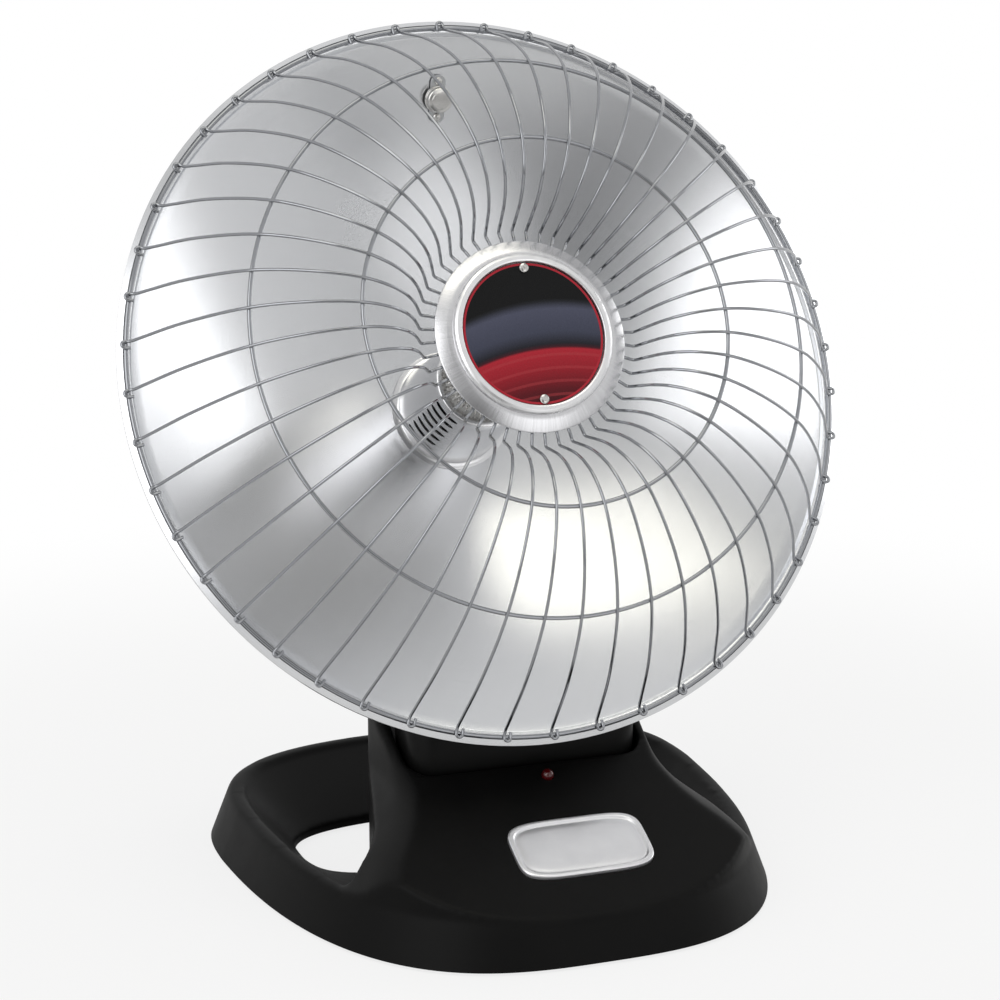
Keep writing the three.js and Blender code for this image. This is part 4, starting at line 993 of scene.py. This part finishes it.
SHOULDERS = (-90, -75, -60, -47, -37)
FLANK = ((24, -74), (15, -60), (9, -40), (2, -13), (-4, 10), (-13, 34), (-32, 52), (-51, 68))
LEANS = (
    (-12, 124, -70, 100, 200), (24, 121, -72, 92, 200), (29, 112.5, -75, 84, 200), (38, 106, -78, 72, 190),
    (46, 98, -68, 66.5, 140), (53, 88, -55, 64.6, 130), (62, 79, -35, 64, 110), (72.7, 76.5, -15, 56, 90),
    (100, 75.5, 5, 52, 70),
)


def rim_point(degrees, inset):
    angle = math.radians(degrees)
    z = skirt_height(footprint(angle, 0)[1])
    return footprint(angle, inset + z * DRAFT)


def plan_outline(inset):
    knots = [rim_point(a, 0.6) for a in SHOULDERS] + [rim_point(-35, 5)]
    knots += [(79 + out, 2 + along) for out, along in FLANK]
    curve = [tuple(p) for p in smooth_line(knots, 6)]
    right = curve + [(22, 104), (0, 104)]
    loop = right + [(-x, y) for x, y in right[-2:0:-1]]
    shrunk = []
    for i, (x, y) in enumerate(loop):
        ahead, behind = np.array(loop[(i + 1) % len(loop)]), np.array(loop[i - 1])
        along = (ahead - behind) / np.linalg.norm(ahead - behind)
        shrunk.append((x - along[1] * inset, y + along[0] * inset))
    return shrunk


def pedestal(inset, steps):
    plan = plan_outline(inset)
    stacked = loft([[(x, y, z) for x, y in plan] for z in (-9, 122)])
    upright = mesh_object("upright", *stacked, straight, 0)
    loops = []
    for z, half_width, middle, front, back in LEANS:
        loop = []
        for angle in around(steps):
            depth = (front if math.sin(angle) < 0 else back) - inset
            x, y = oval(angle, half_width - inset, depth, 3)
            loop.append((x, y + middle, z))
        loops.append(loop)
    fine = [smooth_line([loop[k] for loop in loops], 5) for k in range(steps)]
    tapered = loft([[line[i] for line in fine] for i in range(len(fine[0]))])
    leaner = mesh_object("leaning", *tapered, straight, 0)
    drop = inset / math.cos(RAMP)
    crown = 93 - inset
    crown_start = RAMP_START[0] + (crown + drop - RAMP_START[1]) / math.tan(RAMP)
    tail = 104 - inset
    side = [
        (-160, -18), (tail, -18), (tail, 32 - inset), (76 - inset, 42 - inset), (58 - inset, 68 - inset),
        (22, crown), (crown_start, crown), (-160, ramp_height(-160) - drop),
    ]
    slab = mesh_object("side", *prism(side, -HALF_WIDTH, HALF_WIDTH), straight, 0)
    outward(upright)
    return combine(upright, "INTERSECT", leaner, slab)


BARREL_RADIUS = 48.4
BARREL_HALF = 66.6
SHAFT_HOLE = 5.3


def base_form(inset):
    steps = 96 if inset else FINE
    rim = lambda y: skirt_height(y) - inset
    inner = skirt_loop(steps, 9 - inset, lambda y: rim(y) - 2)
    above = [(x, y, z + 20) for x, y, z in inner]
    well = loft([well_loop(steps, inset, -12), well_loop(steps, inset, 6), inner, above])
    loops = [skirt_loop(steps, inset, lambda y: -6), skirt_loop(steps, inset, lambda y: rim(y) - 2)]
    loops.append(skirt_loop(steps, inset + 0.6, lambda y: rim(y) - 0.6))
    loops.append(skirt_loop(steps, inset + 2, rim))
    form = mesh_object("form", *loft(loops), straight, 0)
    outward(form)
    combine(form, "DIFFERENCE", mesh_object("well", *well, straight, 0))
    return combine(form, "UNION", pedestal(inset, steps))


def barrel(grow, steps=None):
    """The barrel that the head tilts on, about the pivot's line, grown by a margin."""
    radius, half, bend = BARREL_RADIUS + grow, BARREL_HALF + grow, 15
    end = []
    for i in range(9):
        a = math.pi / 2 * (1 - i / 8)
        end.append((radius - bend + bend * math.sin(a), half - bend + bend * math.cos(a)))
    profile = [(0, -half)] + [(r, -z) for r, z in end][::-1] + end + [(0, half)]
    vertices, faces = lathe(profile, steps or FINE)
    made = mesh_object("barrel", vertices, faces, along_x, 0)
    outward(made)
    return made


def open_above(half_width, half_depth):
    return mesh_object("open", *block((2 * half_width, 2 * half_depth, 60), (0, 2, 112)), straight, 0)


def post(radius, low, high, place, steps=48):
    return turned("post", [(0, low), (radius, low), (radius, high), (0, high)], place, steps)


POCKET_WIDTH = 68.6
POCKET_RADIUS = 50.4
BADGE_AT = (5.5, -107.264715)
LENS_AT = (6.0, -57.496566)
GLAND_HEIGHT = 18.5


def rounded_box_loop(width, depth, height, steps=96, power=4.6):
    return [(*oval(a, width / 2, depth / 2, power), height) for a in around(steps)]


def over_pivot(points):
    """Points of an upright form under the pivot."""
    return straight(points) + np.array([0, PIVOT[1], 0])


def gland_place(points):
    """Points about the gland's axis, which leaves the skirt's back at a right angle."""
    return leaning(points, math.radians(20 - 90), (0, HALF_DEPTH - GLAND_HEIGHT * DRAFT, GLAND_HEIGHT))


def make_base():
    shell = base_form(0)
    hollow = base_form(3)
    tub = combine(barrel(5, steps=64), "UNION", open_above(73.6, 53.4))
    combine(hollow, "DIFFERENCE", tub)
    combine(shell, "DIFFERENCE", hollow)
    combine(shell, "DIFFERENCE", barrel(2), open_above(POCKET_WIDTH, POCKET_RADIUS))
    softened(shell, 1.5, 12, 0.28)
    shade(shell, 45)
    recess = loft([rounded_box_loop(76.6, 41.6, z) for z in (-1.2, 10)])
    tools = [
        mesh_object("under", *block((620, 640, 40), (0, 0, -18.5)), straight, 0),
        mesh_object("recess", *recess, lambda p: ramp(p, *BADGE_AT), 0),
        post(3.7, -20, 20, lambda p: ramp(p, *LENS_AT)),
        post(SHAFT_HOLE, -72.3, 72.3, along_x),
        post(8, 0, PIVOT[2], over_pivot),
        post(6.8, -20, 10, gland_place),
    ]
    combine(shell, "DIFFERENCE", *tools)
    shade(shell, 45)
    finished(shell, "base", BLACK, "black_plastic", "base_shell")


def make_base_parts():
    places = (-0.9, 76), (1.5, 76), (1.95, 75.5), (2.1, 74.4), (2.1, 72), (1.95, 70.8), (1.35, 69.9)
    places += (1.2, 69.4), (1.2, 67.6), (1.32, 66.6), (1.42, 60)
    loops = [rounded_box_loop(width, width - 35, z) for z, width in places]
    loops += [rounded_box_loop(36, 12, 1.5), rounded_box_loop(4, 1.5, 1.52)]
    badge = mesh_object("badge", *loft(loops), lambda p: ramp(p, *BADGE_AT), 50)
    outward(badge)
    finished(badge, "base", BADGE, "satin_aluminium", "badge_plate")

    profile = [(2.2, 0), (2.2, -9), (3.4, -9), (3.4, 0.6)]
    for a in np.linspace(0.1, math.pi / 2 - 0.05, 12):
        profile.append((3.4 * math.cos(a), 0.6 + 3.4 * math.sin(a)))
    profile += [(0, 4.0), (0, 0)]
    lens = turned("pilot_lens", profile, lambda p: ramp(p, *LENS_AT), 64, 50)
    finished(lens, "base", LENS, "red_lens", "indicator_lens")

    profile = [(3.6, -9), (6.5, -9), (6.5, 0.6), (8.7, 0.6), (8.7, 2.2), (7.5, 3.6), (3.6, 3.6)]
    gland = turned("strain_gland", rounded(profile, 0.4), gland_place, 64, 40)
    finished(gland, "base", RUBBER, "black_rubber", "cord_gland")

    for place, x, y in (("front", 72, -112), ("back", 82, 112)):
        for side, sign in (("left", -1), ("right", 1)):
            profile = [(0, 0.3), (4.6, 0.3), (5.2, 0.0), (8.4, 0.0), (9, 0.5), (9, 1.7), (0, 1.7)]
            at = np.array([sign * x, y, 0])
            pad = turned(f"pad_{place}_{side}", rounded(profile, 0.3, 2), lambda p: straight(p) + at, 48, 40)
            finished(pad, "base", RUBBER, "black_rubber", f"foot_{place}_{side}")


# ---- neck
def from_dish(down, along):
    c, s = math.cos(TILT), math.sin(TILT)
    return RIM_CENTRE[1] - down * s - along * c, RIM_CENTRE[2] - down * c + along * s


def neck_form(inset):
    """The neck's barrel and column, drawn in by a margin."""
    top = 52
    y, z = PIVOT[1:]
    outline = [
        (y, z), (y + BARREL_RADIUS - 2 - inset, 86), from_dish(top, HOUSING_FRONT - 34 + inset),
        from_dish(top, HOUSING_FRONT - 2.5 - inset), (-2 + inset, 82 + 48.4 - 8 - inset),
    ]
    form = barrel(-inset)
    half = 46 - inset
    return combine(form, "UNION", mesh_object("column", *prism(outline, -half, half), straight, 0))


def neck_side(front):
    """A block over the rear or the front half of the neck, up to their parting plane."""
    block_of_half = block((400, 400, 400), (0, -200.15 if front else 200.15, 0))
    return mesh_object("side", *block_of_half, lambda p: leaning(p, math.radians(-36), PIVOT), 0)


def make_neck():
    clear = [
        (0, HOUSING_BACK - 30), (52.3, HOUSING_BACK - 30), (52.3, HOUSING_BACK), (58.3, HOUSING_FRONT),
        (58.3, HOUSING_FRONT + 20), (0, HOUSING_FRONT + 20),
    ]
    for name, front in (("front", True), ("rear", False)):
        half = neck_form(0)
        combine(half, "DIFFERENCE", neck_form(3))
        combine(half, "INTERSECT", neck_side(front))
        tools = [
            turned("clear", clear, head, 96),
            post(SHAFT_HOLE, -68, 68, along_x),
            post(9, 31, 62, over_pivot),
        ]
        combine(half, "DIFFERENCE", *tools)
        limit = math.radians(40)
        change(half, "BEVEL", width=0.5 * MM, segments=2, limit_method="ANGLE", angle_limit=limit)
        shade(half, 35)
        finished(half, "head", BLACK_HEAD, "black_plastic", "neck_" + name)


# ---- thermal cut-off
CUTOFF_AT = 172.0
RIVET_AT = 10.5


def on_dish(points, along=0.0):
    """Points over the dish's face at the cut-off: across, up the face, off it."""
    slope = math.atan(2 * DISH_DEPTH * CUTOFF_AT / DISH_RADIUS**2)
    points = np.asarray(points, float) + np.array([0, along, 0])
    return head(leaning(points, slope, (0, CUTOFF_AT, dish_face(CUTOFF_AT))))


def make_cutoff():
    body = [(0, 2.4), (8, 2.4), (8, 3.3), (7.3, 3.5), (7.3, 7.0), (6.8, 7.5)]
    body += [(5.2, 7.7), (4.9, 8.2), (0, 8.2)]
    can = turned("cutoff_can", rounded(body, 0.35), on_dish, 64, 50)
    finished(can, "head", NICKEL, "satin_aluminium", "thermal_cutoff")
    outline = stadium(4.5, 9.5, 64)
    loops = [[(x * k, y, z) for x, y in outline] for z, k in ((1.1, 1.0), (1.9, 1.0), (2.1, 0.96))]
    strap = mesh_object("cutoff_strap", *loft(loops), on_dish, 30)
    outward(strap)
    ends = (-RIVET_AT, RIVET_AT)
    holes = [post(1.6, -1, 4, lambda p, end=end: on_dish(p, end), steps=24) for end in ends]
    combine(strap, "DIFFERENCE", *holes)
    shade(strap, 30)
    finished(strap, "head", ZINC, "plated_steel", "cutoff_bracket")
    profile = [(0, 0.8), (1.3, 0.8), (1.3, 2.4), (2.4, 2.4), (2.4, 2.8), (1.9, 3.4), (1.0, 3.8), (0, 3.9)]
    for name, side in (("upper", 1), ("lower", -1)):
        place = lambda p, end=side * RIVET_AT: on_dish(p, end)
        rivet = turned("rivet_" + name, rounded(profile, 0.2, 2), place, 32, 50)
        finished(rivet, "head", NICKEL, "plated_steel", "cutoff_rivet_" + name)


# ---- carried-over nodes
CARRIED = (
    (PLATE_BLACK, "bottom_plate", "tip_over_switch", "alarm_buzzer", "thermostat"),
    (NYLON, "friction_washer_left", "friction_washer_right"),
    (NICKEL, "terminal_lower", "terminal_upper"),
    (ZINC, "rod_bridge", "rod_nut_front", "rod_nut_rear"),
    (STEEL, "tilt_shaft", "tie_rod", "knob_shaft"),
    (LAMP, "indicator_lamp"),
)


def dress_carried():
    for material, *names in CARRIED:
        for name in names:
            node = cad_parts[name]
            node.data.materials.clear()
            node.data.materials.append(material)


# ---- studio
CAMERA_AT = (-0.43467, -1.17940, 0.48478)
CAMERA_WAY = (-20.21, 12.30)
FLOOR_REACH = 1150
FLOOR_DROP = 0.2
FLOOR_FADE = (0.36, 0.95, 0.80, 1.0)


def facing(azimuth, elevation):
    """The direction at an azimuth from the front, to the viewer's right, and an elevation."""
    a, e = math.radians(azimuth), math.radians(elevation)
    return Vector((math.sin(a) * math.cos(e), -math.cos(a) * math.cos(e), math.sin(e)))


def make_camera():
    camera = bpy.data.objects.new("camera", bpy.data.cameras.new("camera"))
    bpy.context.scene.collection.objects.link(camera)
    camera.location = CAMERA_AT
    camera.rotation_euler = facing(*CAMERA_WAY).to_track_quat("Z", "Y").to_euler()
    camera.data.lens = 83.37
    camera.data.sensor_width = 36
    camera.data.clip_start = 0.05
    bpy.context.scene.camera = camera


def make_floor():
    """A pale disc that fades to white in the camera's view."""
    ring = circle(FLOOR_REACH, -FLOOR_DROP, 96)
    floor = mesh_object("floor", ring, [tuple(range(96))], straight, 0)
    m = Nodes("pale_floor")
    tone = m.mix(m.noise(3, 2), (0.66, 0.66, 0.66), (0.72, 0.72, 0.72))
    m.set(color=tone, rough=0.9, gloss=0.1)
    path = m.add("ShaderNodeLightPath")
    glow = m.add("ShaderNodeEmission")
    glow.inputs["Color"].default_value = (1, 1, 1, 1)
    r = m.polar(m.object)[0]
    away = m.add("ShaderNodeMapRange", interpolation_type="SMOOTHSTEP")
    for index, value in enumerate(FLOOR_FADE):
        away.inputs[1 + index].default_value = value
    m.link(r, away.inputs[0])
    direct = m.maths("MAXIMUM", path.outputs["Is Camera Ray"], path.outputs["Is Transmission Ray"])
    mirrored = m.maths("MULTIPLY", path.outputs["Is Glossy Ray"], 0.2)
    seen = m.maths("MULTIPLY", m.maths("MAXIMUM", direct, mirrored), away.outputs[0])
    blend = m.add("ShaderNodeMixShader")
    m.link(seen, blend.inputs[0])
    m.link(m.shader.outputs[0], blend.inputs[1])
    m.link(glow.outputs[0], blend.inputs[2])
    m.link(blend.outputs[0], m.tree.nodes["Material Output"].inputs["Surface"])
    floor.data.materials.append(m.material)


AMBIENT = 0.72
# azimuth, elevation, inner and outer angle, and what the patch adds to the light
PATCHES = (
    (-12, -12, 8, 32, -0.56),
    (-10, 22, 6, 26, -0.36),
    (17, 2, 8, 20, 0.85),
    (26, -24, 8, 28, -0.42),
    (86, 50, 6, 20, -0.26),
    (-72, 70, 6, 20, -0.26),
)


def make_world():
    """An even room with a few paler and darker soft patches, white to the camera."""
    world = bpy.data.worlds.new("studio")
    bpy.context.scene.world = world
    world.use_nodes = True
    nodes, links = world.node_tree.nodes, world.node_tree.links

    def maths(operation, source, other):
        node = nodes.new("ShaderNodeMath")
        node.operation = operation
        links.new(source, node.inputs[0])
        if hasattr(other, "is_output"):
            links.new(other, node.inputs[1])
        else:
            node.inputs[1].default_value = other
        return node.outputs[0]

    coordinates = nodes.new("ShaderNodeTexCoord")
    total = AMBIENT
    for azimuth, elevation, inner, outer, step in PATCHES:
        dot = nodes.new("ShaderNodeVectorMath")
        dot.operation = "DOT_PRODUCT"
        dot.inputs[1].default_value = facing(azimuth, elevation)
        links.new(coordinates.outputs["Generated"], dot.inputs[0])
        shares = nodes.new("ShaderNodeMapRange")
        shares.interpolation_type = "SMOOTHSTEP"
        shares.inputs[1].default_value = math.cos(math.radians(outer))
        shares.inputs[2].default_value = math.cos(math.radians(inner))
        shares.inputs[4].default_value = step
        links.new(dot.outputs["Value"], shares.inputs[0])
        total = maths("ADD", shares.outputs[0], total)
    path = nodes.new("ShaderNodeLightPath").outputs
    seen = maths("MULTIPLY", path["Is Glossy Ray"], 0.1)
    for ray in ("Is Camera Ray", "Is Transmission Ray"):
        seen = maths("MAXIMUM", path[ray], seen)
    mix = nodes.new("ShaderNodeMix")
    mix.data_type = "RGBA"
    mix.inputs[7].default_value = (1, 1, 1, 1)
    links.new(seen, mix.inputs[0])
    links.new(total, mix.inputs[6])
    links.new(mix.outputs[2], nodes["Background"].inputs["Color"])


def soft_box(name, azimuth, elevation, distance, size, level, color=(1, 1, 1)):
    """A rectangular lamp facing the dish, whose face is as bright as its level."""
    light = bpy.data.lights.new(name, "AREA")
    light.shape = "RECTANGLE"
    light.size, light.size_y = size
    light.energy = level * math.pi * size[0] * size[1]
    light.color = color
    aim = Vector((0, 0, 0.25))
    way = facing(azimuth, elevation)
    made = bpy.data.objects.new(name, light)
    made.location = aim + way * distance
    made.rotation_euler = way.to_track_quat("Z", "Y").to_euler()
    bpy.context.scene.collection.objects.link(made)


def make_lights():
    soft_box("left_box", -54, 24, 2.2, (1.7, 1.9), 1.4)
    soft_box("right_box", 92, 14, 2.2, (1.3, 1.3), 1.35)
    soft_box("top_box", 2, 76, 2.3, (1.5, 1.0), 1.5, (1.0, 0.97, 0.84))


make_camera()
make_floor()
make_world()
make_lights()
make_dish()
make_guard()
make_hub()
make_can()
make_element()
make_rear()
make_base()
make_base_parts()
make_neck()
make_cutoff()
dress_carried()

bpy.context.scene.view_settings.view_transform = "Standard"
